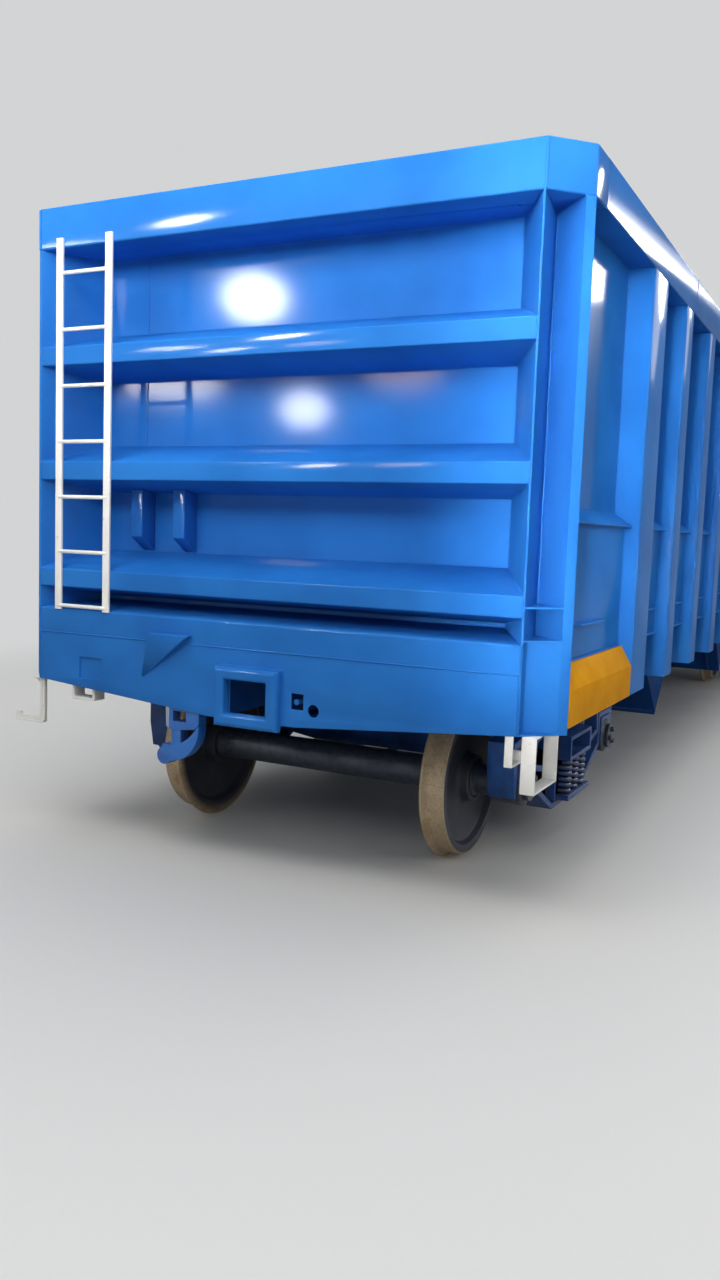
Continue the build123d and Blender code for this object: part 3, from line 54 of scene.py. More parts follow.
# %% [markdown]
# A few small helpers come first. Paint colours are written as sRGB hex codes, as a paint chart
# gives them, and one function turns them into the linear values that a shader needs. One function
# fills a node's inputs and one adds a node with its settings. The last links a finished mesh to a
# body and gives it its slot and paint, because a wagon is many pieces and each needs the same words.

# %% Helpers


def paint(code):
    """Linear RGBA of an sRGB hex colour."""
    channels = [int(code[i:i + 2], 16) / 255 for i in (1, 3, 5)]
    linear = [c / 12.92 if c <= 0.04045 else ((c + 0.055) / 1.055) ** 2.4 for c in channels]
    return (*linear, 1.0)


def connect(tree, node, inputs):
    """Fills a node's inputs: a node or socket is linked, a hex colour or number is set."""
    for key, value in inputs.items():
        if isinstance(value, bpy.types.Node):
            value = next(output for output in value.outputs if output.enabled)
        if isinstance(value, bpy.types.NodeSocket):
            tree.links.new(value, node.inputs[key])
        else:
            node.inputs[key].default_value = paint(value) if str(value)[0] == "#" else value


def add_node(tree, kind, inputs=None, stops=(), **settings):
    """Adds a node with its settings and inputs, and a colour ramp's stops. Inputs that share a name
    go by number: a mix has its two colours at 6 and 7, its two numbers at 2 and 3."""
    node = tree.nodes.new(kind)
    for name, value in settings.items():
        setattr(node, name, value)
    if stops:
        elements = node.color_ramp.elements
        while len(elements) < len(stops):
            elements.new(0.5)
        for element, (position, code) in zip(elements, stops):
            element.position, element.color = position, paint(code)
    connect(tree, node, inputs or {})
    return node


def put_in_scene(name, data):
    item = bpy.data.objects.new(name, data)
    bpy.context.scene.collection.objects.link(item)
    return item


def plain_mesh(item):
    """Mesh of an object with its modifiers applied. The object is used up."""
    mesh = bpy.data.meshes.new_from_object(item.evaluated_get(bpy.context.evaluated_depsgraph_get()))
    bpy.data.objects.remove(item)
    return mesh


def place_piece(name, mesh, body, finish=None):
    """Object for a finished mesh that rides on a body and finish."""
    piece = put_in_scene(name, mesh)
    if finish is not None:
        mesh.materials.clear()
        mesh.materials.append(finish)
    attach(piece, body)
    return piece


print("mid grey #808080 is", round(paint("#808080")[0], 3), "in linear light")

# %% [markdown]
# The camera stands 4.4 m in front of the end, 2.9 m to the right and 1.76 m up, turned left and a
# little down. Its angles come from a fit of the photograph, and the lens from the same fit, so the
# model's edges fall where the picture has them.

# %% Camera
END_Y = 6.145
EYE = Vector((2.860, -END_Y - 4.407, 1.76))
YAW, PITCH, ROLL = -0.4707, 0.1021, -0.0347
FOCAL_SHARE = 1039.2 / 1280

ahead = Vector((math.sin(YAW) * math.cos(PITCH), math.cos(YAW) * math.cos(PITCH), -math.sin(PITCH)))
level_right = Vector((math.cos(YAW), -math.sin(YAW), 0))
level_up = level_right.cross(ahead)
right = level_right * math.cos(ROLL) - level_up * math.sin(ROLL)
up = right.cross(ahead)

camera_data = bpy.data.cameras.new("camera")
camera_data.sensor_fit = "VERTICAL"
camera_data.sensor_height = 36
camera_data.lens = 36 * FOCAL_SHARE
camera_data.clip_end = 200
camera = put_in_scene("camera", camera_data)
axes = Matrix((right, up, -ahead)).transposed().to_4x4()
camera.matrix_world = Matrix.Translation(EYE) @ axes
bpy.context.scene.camera = camera
print("lens", round(camera_data.lens, 2), "mm, right", [round(v, 4) for v in right])

# %% [markdown]
# Glossy paint shows whatever stands round it, so the light is made in two sets. Fills are large
# soft lamps that light the paint at a plain level and never show in its gloss. Glints are small
# lamps that show only in the gloss, as the bright spots that the end and the chord mirror. The
# floor is plain and pale. It keeps the wagon's shadow, and far out it fades into the sky's tone.

# %% Floor
FLOOR_TINT, FLOOR_BOUNCE = "#DEDEDB", "#A8A49C"
BACKDROP, NEAR_LIGHT, FAR_LIGHT = "#F1F2F3", 0.13, 0.74
FLOOR_EDGE, FADE_FROM, FADE_TO, FADE_STRETCH = 60, 7.5, 15.0, (1.7, 1.0, 1.0)


def seen_rays(tree):
    """1 for the rays that show the background: camera, mirror and see-through rays."""
    rays = add_node(tree, "ShaderNodeLightPath").outputs
    seen = rays["Is Camera Ray"]
    for kind in ("Is Glossy Ray", "Is Transmission Ray"):
        seen = add_node(tree, "ShaderNodeMath", {0: seen, 1: rays[kind]}, operation="MAXIMUM").outputs[0]
    return seen


def studio_floor():
    corners = [(x * FLOOR_EDGE, y * FLOOR_EDGE, 0) for x, y in ((-1, -1), (1, -1), (1, 1), (-1, 1))]
    mesh = bpy.data.meshes.new("floor")
    mesh.from_pydata(corners, [], [(0, 1, 2, 3)])
    finish = bpy.data.materials.new("pale_floor_paint")
    finish.use_nodes = True
    tree = finish.node_tree
    seen = seen_rays(tree)
    tone = add_node(tree, "ShaderNodeMix", {"Factor": seen, 6: FLOOR_BOUNCE, 7: FLOOR_TINT}, data_type="RGBA")
    shader = tree.nodes["Principled BSDF"]
    connect(tree, shader, {"Base Color": tone, "Roughness": 0.75})
    place = add_node(tree, "ShaderNodeTexCoord").outputs["Object"]
    place = add_node(tree, "ShaderNodeVectorMath", {0: place, 1: FADE_STRETCH}, operation="MULTIPLY")
    reach = add_node(tree, "ShaderNodeVectorMath", {0: place}, operation="LENGTH").outputs["Value"]
    far = add_node(tree, "ShaderNodeMapRange", {"Value": reach, "From Min": FADE_FROM, "From Max": FADE_TO},
                   interpolation_type="SMOOTHSTEP")
    far = add_node(tree, "ShaderNodeMath", {0: far, 1: seen}, operation="MULTIPLY")
    backdrop = add_node(tree, "ShaderNodeEmission", {"Color": BACKDROP, "Strength": FAR_LIGHT})
    faded = add_node(tree, "ShaderNodeMixShader", {0: far, 1: shader, 2: backdrop})
    connect(tree, tree.nodes["Material Output"], {"Surface": faded})
    mesh.materials.append(finish)
    floor = put_in_scene("floor", mesh)


studio_floor()
print("floor", 2 * FLOOR_EDGE, "m wide, fading from", FADE_FROM, "to", FADE_TO, "m")

# %% [markdown]
# The sky lights more from the far side than from the near side, so that the ribs shade the end.
# Where it's seen or mirrored, it has one pale tone.

# %% Sky


def studio_world():
    world = bpy.data.worlds.new("studio")
    bpy.context.scene.world = world
    world.use_nodes = True
    tree = world.node_tree
    direction = add_node(tree, "ShaderNodeTexCoord").outputs["Generated"]
    along = add_node(tree, "ShaderNodeSeparateXYZ", {"Vector": direction}).outputs["Y"]
    light = add_node(tree, "ShaderNodeMapRange", {
        "Value": along, "From Min": -0.1, "From Max": 0.55, "To Min": NEAR_LIGHT, "To Max": FAR_LIGHT})
    strength = add_node(tree, "ShaderNodeMix", {"Factor": seen_rays(tree), 2: light, 3: FAR_LIGHT})
    connect(tree, tree.nodes["Background"], {"Color": BACKDROP, "Strength": strength})


studio_world()
bpy.context.scene.view_settings.view_transform = "Standard"
print("sky strength", NEAR_LIGHT, "to", FAR_LIGHT)

# %% [markdown]
# Each lamp is a line in a table: its place, what it's turned to, its width and height in metres
# and its power in watts. A narrow spread keeps a fill on the top sheet or on the corner post.

# %% Lamps
FILLS = [
    ("overhead_fill", (0, -4, 12), (0, -3, 0), (14, 16), 900, 180),
    ("right_fill", (9, -9, 5), (1.5, -3, 2), (4, 4), 170, 180),
    ("top_sheet_fill", (0.0, -10.6, 4.7), (-0.3, -6.0, 4.2), (6, 2.2), 115, 80),
    ("high_fill", (0.3, -9.8, 8.4), (0.2, -6.0, 2.6), (6, 3), 190, 180),
    ("low_fill", (0.8, -12.4, 1.7), (0.2, -6.0, 1.2), (5, 1.2), 26, 180),
    ("corner_fill", (2.3, -10.5, 2.6), (1.5, -6.1, 2.3), (0.4, 2.4), 8, 16),
]
GLINTS = [
    ("chord_glint", (5.2, 8.0, 7.2), (1.6, -5, 3), (2.2, 2.4), 820, "#FFFFFF"),
    ("side_glint", (6.0, 7.5, 5.9), (1.46, -5, 2.4), (2.0, 3.0), 90, "#FFFFFF"),
    ("stake_glint", (8.6, -1.6, 4.6), (1.5, -4.8, 2.4), (0.9, 6.0), 380, "#FFFFFF"),
    ("rib_glint", (0.5, -8.6, 8.6), (0, -6.5, 2.0), (9, 0.5), 210, "#FFFFFF"),
    ("end_glint_1", (-4.54, -12.34, 4.66), (-0.25, -5.8, 2.98), (0.8, 0.6), 210, "#FFFFFF"),
    ("end_glint_2", (-3.95, -12.65, 3.30), (0.07, -5.8, 2.39), (0.6, 0.45), 80, "#FFFFFF"),
    ("end_glint_3", (-5.64, -12.08, 3.62), (-0.80, -5.8, 2.52), (1.3, 0.45), 100, "#FFFFFF"),
    ("end_glint_4", (-2.73, -12.96, 3.80), (0.63, -5.8, 2.55), (1.0, 0.5), 38, "#FFE3D8"),
]


def soft_lamp(name, place, target, size, power, spread=180, tint="#FFFFFF", glint=False):
    """Area lamp at a place, turned to a target. A glint is round and shows only in the gloss."""
    data = bpy.data.lights.new(name, "AREA")
    data.shape = "ELLIPSE" if glint else "RECTANGLE"
    data.size, data.size_y = size
    data.energy = power
    data.spread = math.radians(spread)
    data.color = paint(tint)[:3]
    lamp = put_in_scene(name, data)
    lamp.visible_glossy = glint
    lamp.visible_diffuse = not glint
    lamp.location = place
    lamp.rotation_euler = (Vector(target) - Vector(place)).to_track_quat("-Z", "Y").to_euler()


for name, place, target, size, power, spread in FILLS:
    soft_lamp(name, place, target, size, power, spread)
for name, place, target, size, power, tint in GLINTS:
    soft_lamp(name, place, target, size, power, tint=tint, glint=True)
print("fills", len(FILLS), "glints", len(GLINTS))

# %% [markdown]
# ## The paints
# Every finish is built from the same few parts: patches of tone, patches of dull and bright, dirt
# and painted shade in the corners, and relief from bumps laid one over the other. A noise's scale is
# 1000 over its cells' size in millimetres, so each pattern is given by a real size.

# %% Parts of a finish


def start_finish(name):
    """Empty principled material and its tree, shader and object coordinates."""
    finish = bpy.data.materials.new(name)
    finish.use_nodes = True
    tree = finish.node_tree
    place = add_node(tree, "ShaderNodeTexCoord").outputs["Object"]
    return finish, tree, tree.nodes["Principled BSDF"], place


def mottled(tree, place, cell_mm, detail, stops):
    """Colour that changes between stops in patches of a size."""
    patches = add_node(tree, "ShaderNodeTexNoise", {"Vector": place, "Scale": 1000 / cell_mm, "Detail": detail})
    return add_node(tree, "ShaderNodeValToRGB", {"Fac": patches}, stops)


def patchy(tree, place, cell_mm, detail, low, high):
    """Value that wanders between two numbers in patches of a size."""
    patches = add_node(tree, "ShaderNodeTexNoise", {"Vector": place, "Scale": 1000 / cell_mm, "Detail": detail})
    return add_node(tree, "ShaderNodeMapRange", {"Value": patches, "To Min": low, "To Max": high})


def relief(tree, place, layers):
    """Normal from (height, depth in mm) layers, one over the other. A height is a node, or the
    (cell in mm, detail) of a noise."""
    normal = None
    for height, depth in layers:
        if isinstance(height, tuple):
            cell_mm, detail = height
            height = add_node(tree, "ShaderNodeTexNoise", {
                "Vector": place, "Scale": 1000 / cell_mm, "Detail": detail})
        under = {} if normal is None else {"Normal": normal}
        normal = add_node(tree, "ShaderNodeBump", {"Height": height, "Distance": depth / 1000, **under})
    return normal


def dirtied(tree, tone, dust_and_shade_tone, reach_mm, share):
    """Tone with dust and painted shade in corners and under ledges, where an occlusion mask finds them, and
    none on open faces.
    """
    # Painted shade: the occlusion mask mixes the dust tone in where corners and ledges shade the surface.
    hollow = add_node(tree, "ShaderNodeAmbientOcclusion", {"Distance": reach_mm / 1000}, samples=6)
    near = add_node(tree, "ShaderNodeMapRange", {
        "Value": hollow.outputs["AO"], "From Min": 0.35, "From Max": 0.95, "To Min": 1.0, "To Max": 0.0})
    dust_and_shade_share = add_node(tree, "ShaderNodeMath", {0: near, 1: share}, operation="MULTIPLY")
    return add_node(tree, "ShaderNodeMix", {"Factor": dust_and_shade_share, 6: tone, 7: dust_and_shade_tone}, data_type="RGBA")


print("cells of 600 mm have a noise scale of", round(1000 / 600, 3))

# %% [markdown]
# The body is sprayed with a glossy alkyd enamel over welded steel sheet. To the eye it's one deep
# blue with clear mirror spots, a little dust and painted shade in its corners, and reflections that
# bend. Up close it has orange peel, a fine pebbling from the spray, drawn a little coarse here so
# that it shows.
# From further off the sheet has the soft waves that welding leaves, with cells of about 400 mm.
# All of the gloss is in the clear coat, so that the colour under it stays full where the side is
# seen at a slant.

# %% Blue enamel


def enamel(name, light, dark, dust_and_shade_colour, dust_and_shade_amount, gloss=0.30, coat=0.2, wave_mm=0.8):
    """Two tones of one paint, with waves, grit, orange peel, and dust with painted shade in its corners."""
    finish, tree, shader, place = start_finish(name)
    tone = mottled(tree, place, 600, 3.0, [(0.32, dark), (0.68, light)])
    colour = dirtied(tree, tone, dust_and_shade_colour, 160, patchy(tree, place, 90, 5.0, 0.2 * dust_and_shade_amount, dust_and_shade_amount))
    rough = patchy(tree, place, 150, 4.0, gloss - 0.06, gloss + 0.16)
    normal = relief(tree, place, [((420, 1.0), wave_mm * 4), ((38, 2.0), 0.5), ((7, 1.0), 0.32)])
    connect(tree, shader, {
        "Base Color": colour, "Roughness": rough, "Normal": normal, "Specular IOR Level": 0.0,
        "Coat Weight": coat, "Coat Roughness": 0.10})
    return finish


# 5A7FAC is dust and painted shade, which the occlusion mask lays in the corners.
blue_enamel = enamel("glossy_blue_alkyd_enamel", "#2C7CD0", "#246CBC", "#5A7FAC", 0.10)
print("made", blue_enamel.name)

# %% [markdown]
# The underframe gets the same paint with less care, so it looks satin, darker and dusty, with dust
# and painted shade in its corners. Inside, the load has scoured the enamel: primer and bare, lightly
# rusted steel come through in streaks that run down the slopes, and nothing shines. Its corners get
# dirt and painted shade too.

# %% Underframe and inside
# 5F5F5C is dust and painted shade, laid in the corners by the occlusion mask.
underframe_blue = enamel("semi_gloss_underframe_enamel", "#174F9A", "#123F80", "#5F5F5C", 0.40,
                         gloss=0.50, coat=0.08, wave_mm=0.5)
BARE_STEEL = [(0.35, "#4A3A30"), (0.55, "#6D5747"), (0.7, "#77706A")]


def scoured_enamel():
    finish, tree, shader, place = start_finish("scoured_inner_enamel")
    streaks = add_node(tree, "ShaderNodeMapping", {"Vector": place, "Scale": (1.0, 1.0, 0.18)})
    wear = add_node(tree, "ShaderNodeTexNoise", {
        "Vector": streaks, "Scale": 1000 / 70, "Detail": 6.0, "Roughness": 0.62})
    broad = add_node(tree, "ShaderNodeTexNoise", {"Vector": place, "Scale": 1000 / 500})
    worn = add_node(tree, "ShaderNodeMath", {0: wear, 1: broad}, operation="MULTIPLY")
    bare = add_node(tree, "ShaderNodeMapRange", {"Value": worn, "From Min": 0.22, "From Max": 0.34})
    steel = mottled(tree, place, 25, 5.0, BARE_STEEL)
    tone = add_node(tree, "ShaderNodeValToRGB", {"Fac": broad}, [(0.3, "#1F62AE"), (0.7, "#2774C2")])
    tone = add_node(tree, "ShaderNodeMix", {"Factor": bare, 6: tone, 7: steel}, data_type="RGBA")
    # 75705F is dirt and painted shade in the corners, from the occlusion mask.
    colour = dirtied(tree, tone, "#75705F", 300, 0.6)
    rough = add_node(tree, "ShaderNodeMapRange", {"Value": bare, "To Min": 0.38, "To Max": 0.7})
    normal = relief(tree, place, [(bare, -0.5), ((14, 3.0), 0.5), ((420, 1.0), 9.0)])
    connect(tree, shader, {"Base Color": colour, "Roughness": rough, "Normal": normal})
    return finish


inner_blue = scoured_enamel()
print("made", underframe_blue.name, inner_blue.name)

# %% [markdown]
# Side frames, bolsters and the tow hook are cast steel, painted over the sand skin. The bump is
# rough and deep, so the paint breaks the light into short, soft flecks. The hook has more coats
# and shines; the springs have one thin dark coat.

# %% Painted castings and springs


def painted_casting(name, light, dark, gloss=0.45, coat=0.15):
    finish, tree, shader, place = start_finish(name)
    tone = mottled(tree, place, 120, 4.0, [(0.35, dark), (0.65, light)])
    # 4B443B is dirt and painted shade in the casting's hollows, from the occlusion mask.
    colour = dirtied(tree, tone, "#4B443B", 90, patchy(tree, place, 40, 5.0, 0.2, 0.9))
    rough = patchy(tree, place, 60, 4.0, gloss - 0.1, gloss + 0.2)
    normal = relief(tree, place, [((45, 2.0), 3.0), ((9, 3.0), 1.0)])
    connect(tree, shader, {
        "Base Color": colour, "Roughness": rough, "Normal": normal, "Specular IOR Level": 0.25,
        "Coat Weight": coat, "Coat Roughness": 0.12})
    return finish


cast_blue = painted_casting("enamelled_steel_casting", "#1B539C", "#123C78")
spring_blue = painted_casting("painted_spring_steel", "#16407C", "#0E2A55", 0.35)
hook_blue = painted_casting("glossy_blue_casting", "#1A72CC", "#145FB4", 0.28, coat=0.6)
print("made", cast_blue.name, spring_blue.name, hook_blue.name)

# %% [markdown]
# The corner boxes are amber, the ladder and steps white, both brushed on by hand. Brushed enamel
# keeps faint ridges along the stroke, which dull its gloss, and it thins at corners, where the
# dark undercoat shows as small specks.

# %% Amber and white


def brushed_enamel(name, light, dark, under):
    finish, tree, shader, place = start_finish(name)
    tone = mottled(tree, place, 180, 4.0, [(0.3, dark), (0.7, light)])
    thin = add_node(tree, "ShaderNodeTexNoise", {"Vector": place, "Scale": 1000 / 22, "Detail": 5.0})
    thin = add_node(tree, "ShaderNodeMapRange", {
        "Value": thin, "From Min": 0.66, "From Max": 0.74, "To Max": 0.5})
    tone = add_node(tree, "ShaderNodeMix", {"Factor": thin, 6: tone, 7: under}, data_type="RGBA")
    # 6F6759 is dirt and painted shade in the corners, from the occlusion mask.
    colour = dirtied(tree, tone, "#6F6759", 60, 0.2)
    rough = patchy(tree, place, 50, 3.0, 0.22, 0.48)
    strokes = add_node(tree, "ShaderNodeMapping", {"Vector": place, "Scale": (1.0, 1.0, 0.12)})
    ridges = add_node(tree, "ShaderNodeTexNoise", {"Vector": strokes, "Scale": 1000 / 6})
    normal = relief(tree, place, [((30, 2.0), 0.8), (ridges, 0.35)])
    connect(tree, shader, {
        "Base Color": colour, "Roughness": rough, "Normal": normal, "Specular IOR Level": 0.0,
        "Coat Weight": 0.07, "Coat Roughness": 0.2})
    return finish


amber_enamel = brushed_enamel("brushed_amber_enamel", "#DD9B14", "#D08C0E", "#8A5F1C")
white_enamel = brushed_enamel("brushed_white_enamel", "#F6F6F2", "#ECECE8", "#9A9C9E")
print("made", amber_enamel.name, white_enamel.name)

# %% [markdown]
# Wheels and axles are rolled and forged steel. A new tread is tan from flash rust; the faces are
# dark with oil and scale, and speckled with rust, so they hardly shine. The tread's colour depends
# on the distance from the axle, which Object coordinates give only at one place along the track.
# Each wheel therefore carries a vertex attribute that is 1 on the tread and 0 elsewhere.

# %% Rolled and forged steel
WHEEL_FACE = [(0.3, "#2A3242"), (0.6, "#343A46"), (0.75, "#4A4440")]
WHEEL_TREAD = [(0.3, "#A8977B"), (0.55, "#B7A486"), (0.75, "#94785A")]


def rolled_wheel():
    finish, tree, shader, place = start_finish("rolled_wheel_steel")
    zone = add_node(tree, "ShaderNodeAttribute", attribute_name="tread").outputs["Fac"]
    speckle = add_node(tree, "ShaderNodeTexNoise", {
        "Vector": place, "Scale": 1000 / 12, "Detail": 6.0, "Roughness": 0.65})
    broad = add_node(tree, "ShaderNodeTexNoise", {"Vector": place, "Scale": 1000 / 130, "Detail": 3.0})
    face = add_node(tree, "ShaderNodeValToRGB", {"Fac": broad}, WHEEL_FACE)
    tread = add_node(tree, "ShaderNodeValToRGB", {"Fac": broad}, WHEEL_TREAD)
    steel = add_node(tree, "ShaderNodeMix", {"Factor": zone, 6: face, 7: tread}, data_type="RGBA")
    rusted = add_node(tree, "ShaderNodeMapRange", {
        "Value": speckle, "From Min": 0.5, "From Max": 0.72, "To Max": 0.55})
    colour = add_node(tree, "ShaderNodeMix", {"Factor": rusted, 6: steel, 7: "#5E4029"}, data_type="RGBA")
    rough = add_node(tree, "ShaderNodeMapRange", {"Value": speckle, "To Min": 0.42, "To Max": 0.75})
    normal = relief(tree, place, [(broad, 0.8), (speckle, 0.5)])
    connect(tree, shader, {"Base Color": colour, "Metallic": 0.15, "Roughness": rough, "Normal": normal})
    return finish


def forged_steel(name, light, dark, grease):
    finish, tree, shader, place = start_finish(name)
    scale = add_node(tree, "ShaderNodeTexNoise", {
        "Vector": place, "Scale": 1000 / 35, "Detail": 5.0, "Roughness": 0.6})
    tone = add_node(tree, "ShaderNodeValToRGB", {"Fac": scale}, [(0.35, dark), (0.6, light), (0.78, grease)])
    rough = patchy(tree, place, 80, 4.0, 0.32, 0.65)
    normal = relief(tree, place, [(scale, 0.8), ((5, 2.0), 0.2)])
    connect(tree, shader, {"Base Color": tone, "Metallic": 0.15, "Roughness": rough, "Normal": normal})
    return finish


wheel_steel = rolled_wheel()
dark_steel = forged_steel("primed_axle_steel", "#3D4656", "#2C333F", "#3A322C")
print("made", wheel_steel.name, dark_steel.name)

# %% [markdown]
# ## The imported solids
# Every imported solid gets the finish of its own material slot. The record says which slot a solid
# has and which body it rides on.

# %% Dress the solids
FINISHES = {
    "blue_enamel": blue_enamel,
    "underframe_blue": underframe_blue,
    "worn_inner_blue": inner_blue,
    "cast_blue": cast_blue,
    "amber_enamel": amber_enamel,
    "white_enamel": white_enamel,
    "spring_steel": spring_blue,
    "rolled_steel": wheel_steel,
    "dark_steel": dark_steel,
}
SLOT_OF = {part["node"]: part["material_slot"] for part in frame["record"]["subparts"]}
BODIES = frame["record"]["behaviour"]["bodies"]
BODY_OF = {node: body for body, members in BODIES.items() for node in members}

for name, node in nodes.items():
    node.data.materials.clear()
    node.data.materials.append(FINISHES[SLOT_OF[name]])
print("dressed", len(nodes), "solids in", len(FINISHES), "finishes")

# %% [markdown]
# A solid whose edges the camera sees is also given its real rounded edges. A copy of its mesh is
# joined up, and a bevel of a few millimetres catches the light along each fold, as rolled plate
# does. The copy then stands for the solid.

# %% Rounded edges
SHARP_FOLD, ROOM_SHARE = math.radians(20), 0.38


def width_of(face):
    """Narrow width of a long face: its area over its longest edge."""
    return face.calc_area() / max(edge.calc_length() for edge in face.edges)


def softened(name, radius_mm, segments=3, finish=None):
    """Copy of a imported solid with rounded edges, which replaces it. Folds between wide faces get
    the whole radius, and the cut edges of a plate as much as its thickness allows."""
    mesh = nodes[name].data.copy()
    mesh.name = name + "_rounded"
    shape = bmesh.new()
    shape.from_mesh(mesh)
    bmesh.ops.remove_doubles(shape, verts=shape.verts, dist=0.00002)
    bmesh.ops.dissolve_limit(shape, angle_limit=math.radians(1.0), verts=shape.verts, edges=shape.edges)
    share = shape.edges.layers.float.new("bevel_weight_edge")
    widths = {face.index: width_of(face) for face in shape.faces}
    radius = radius_mm / 1000
    for edge in shape.edges:
        if len(edge.link_faces) == 2 and edge.calc_face_angle(0) > SHARP_FOLD:
            room = min(widths[face.index] for face in edge.link_faces)
            edge[share] = min(1.0, ROOM_SHARE * room / radius)
    for face in shape.faces:
        face.smooth = True
    shape.to_mesh(mesh)
    shape.free()
    piece = put_in_scene(name + "_rounded", mesh)
    bevel = piece.modifiers.new("rounded_edges", "BEVEL")
    bevel.width = radius
    bevel.segments = segments
    bevel.limit_method = "WEIGHT"
    bevel.use_clamp_overlap = True
    bevel.harden_normals = True
    slot = SLOT_OF[name]
    copy = place_piece(name + "_rounded", plain_mesh(piece), BODY_OF[name], finish or FINISHES[slot])
    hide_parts(name)
    return copy


ROUNDED = {
    "end_ribs": 10, "end_caps": 12, "headstocks": 6, "top_chord_ends": 12, "top_chord_sides": 12,
    "corner_posts": 10, "side_stakes": 14, "lower_panels": 6, "corner_boxes": 8, "ladders": 3,
    "steps": 4, "tow_hooks": 8, "end_brackets": 6, "side_frames_front": 14, "side_frames_rear": 14,
    "strikers": 12, "centre_sill": 6, "side_sills": 6, "body_bolsters": 6, "cross_bearers": 4,
    "bogie_bolster_front": 14, "bogie_bolster_rear": 14, "adapters_front": 6, "adapters_rear": 6,
    "brake_beams_front": 6, "brake_beams_rear": 6, "chute_walls": 3, "slope_sheets": 3,
    "floor_plates": 3, "hopper_ridges": 6, "side_slopes": 4,
}
for name, radius in ROUNDED.items():
    piece = softened(name, radius, finish={"tow_hooks": hook_blue}.get(name))
    print(piece.name, len(piece.data.polygons), "faces")

# %% [markdown]
# ## Wheels and axles
# Wheels, axles and bearings are bodies of revolution, so their solids are redrawn as a turner
# makes them: a profile with every corner rounded is spun round the axle.

# %% Turned shapes


def rounded_line(corners, radius, steps=4):
    """Points of a line whose inner corners are cut to curves, each with its radius in metres."""
    points = [Vector(corners[0])]
    for before, corner, after, r in zip(corners, corners[1:], corners[2:], radius):
        before, corner, after = Vector(before), Vector(corner), Vector(after)
        reach = min(r, (before - corner).length * 0.45, (after - corner).length * 0.45)
        start = corner + (before - corner).normalized() * reach
        end = corner + (after - corner).normalized() * reach
        for i in range(steps + 1):
            t = i / steps
            points.append(start * (1 - t) ** 2 + corner * 2 * t * (1 - t) + end * t ** 2)
    points.append(Vector(corners[-1]))
    return points


def mesh_from(shape, name, fold):
    """Smooth mesh of drawn faces, sharp where it folds by more than an angle."""
    mesh = bpy.data.meshes.new(name)
    shape.to_mesh(mesh)
    shape.free()
    mesh.shade_smooth()
    mesh.set_sharp_from_angle(angle=math.radians(fold))
    return mesh


def spun(name, profile, side, steps=96, tread_from=None):
    """Closed (x, r) profile spun round the X axis at the origin, on one side of the centre."""
    shape = bmesh.new()
    rings = []
    for k in range(steps):
        y, z = math.cos(2 * math.pi * k / steps), math.sin(2 * math.pi * k / steps)
        rings.append([shape.verts.new((side * x, r * y, r * z)) for x, r in profile])
    count = len(profile)
    for k in range(steps):
        a, b = rings[k], rings[(k + 1) % steps]
        for i in range(count):
            j = (i + 1) % count
            shape.faces.new((a[i], a[j], b[j], b[i]))
    bmesh.ops.remove_doubles(shape, verts=shape.verts, dist=0.000001)
    bmesh.ops.recalc_face_normals(shape, faces=shape.faces)
    mesh = mesh_from(shape, name, 40)
    if tread_from is not None:
        zone = mesh.attributes.new("tread", "FLOAT", "POINT")
        zone.data.foreach_set("value", [float(math.hypot(v.co.y, v.co.z) > tread_from) for v in mesh.vertices])
    return mesh


def merged(name, meshes, fold):
    """One mesh from several, which are used up."""
    shape = bmesh.new()
    for mesh in meshes:
        shape.from_mesh(mesh)
        bpy.data.meshes.remove(mesh)
    return mesh_from(shape, name, fold)


print("a rounded corner has", len(rounded_line([(0, 0), (1, 0), (1, 1)], [0.1])) - 2, "points")

# %% [markdown]
# A wheel's profile has the flange, the coned tread, the dished web and the hub. Each point's
# distance from the axle says whether it's on the tread.

# %% Turned wheels
BACK, RIM, TREAD_R, TREAD_EDGE_R, FLANGE_TIP_R = 0.762, 0.130, 0.419, 0.4075, 0.447
WEB_X = BACK + RIM / 2
AXLE_Z = FLANGE_TIP_R
BOGIE_Y, SEAT_Y = 4.400, 0.8635
AXLE_YS = [-BOGIE_Y - SEAT_Y, -BOGIE_Y + SEAT_Y, BOGIE_Y - SEAT_Y, BOGIE_Y + SEAT_Y]
WHEEL_CORNERS = [
    (BACK, 0.4355), (BACK + 0.008, FLANGE_TIP_R), (BACK + 0.017, FLANGE_TIP_R),
    (BACK + 0.032, 0.427), (BACK + 0.042, TREAD_R), (BACK + RIM - 0.010, 0.4155), (BACK + RIM, 0.412),
    (BACK + RIM, 0.369), (WEB_X + 0.030, 0.352), (WEB_X + 0.020, 0.300), (WEB_X + 0.018, 0.170),
    (WEB_X + 0.030, 0.132), (WEB_X + 0.089, 0.128), (WEB_X + 0.089, 0.0985),
    (WEB_X - 0.089, 0.0985), (WEB_X - 0.089, 0.130), (WEB_X - 0.012, 0.134),
    (WEB_X - 0.004, 0.175), (WEB_X - 0.028, 0.352), (BACK, 0.369),
]
WHEEL_ROUNDS = [0.004, 0.008, 0.008, 0.010, 0.014, 0.006, 0.004, 0.010, 0.030, 0.05, 0.05, 0.03,
                0.008, 0.003, 0.003, 0.008, 0.03, 0.05, 0.03, 0.0]

wheel_profile = rounded_line(WHEEL_CORNERS + WHEEL_CORNERS[:1], WHEEL_ROUNDS)[:-1]
for index, y in enumerate(AXLE_YS, 1):
    halves = [spun("half", wheel_profile, side, tread_from=TREAD_EDGE_R) for side in (1, -1)]
    for half in halves:
        half.transform(Matrix.Translation((0, y, AXLE_Z)))
    mesh = merged(f"turned_wheels_{index}", halves, 40)
    wheels = place_piece(mesh.name, mesh, f"wheelset_{index}", wheel_steel)
    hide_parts(f"wheels_{index}")
    print(mesh.name, len(mesh.polygons), "faces")

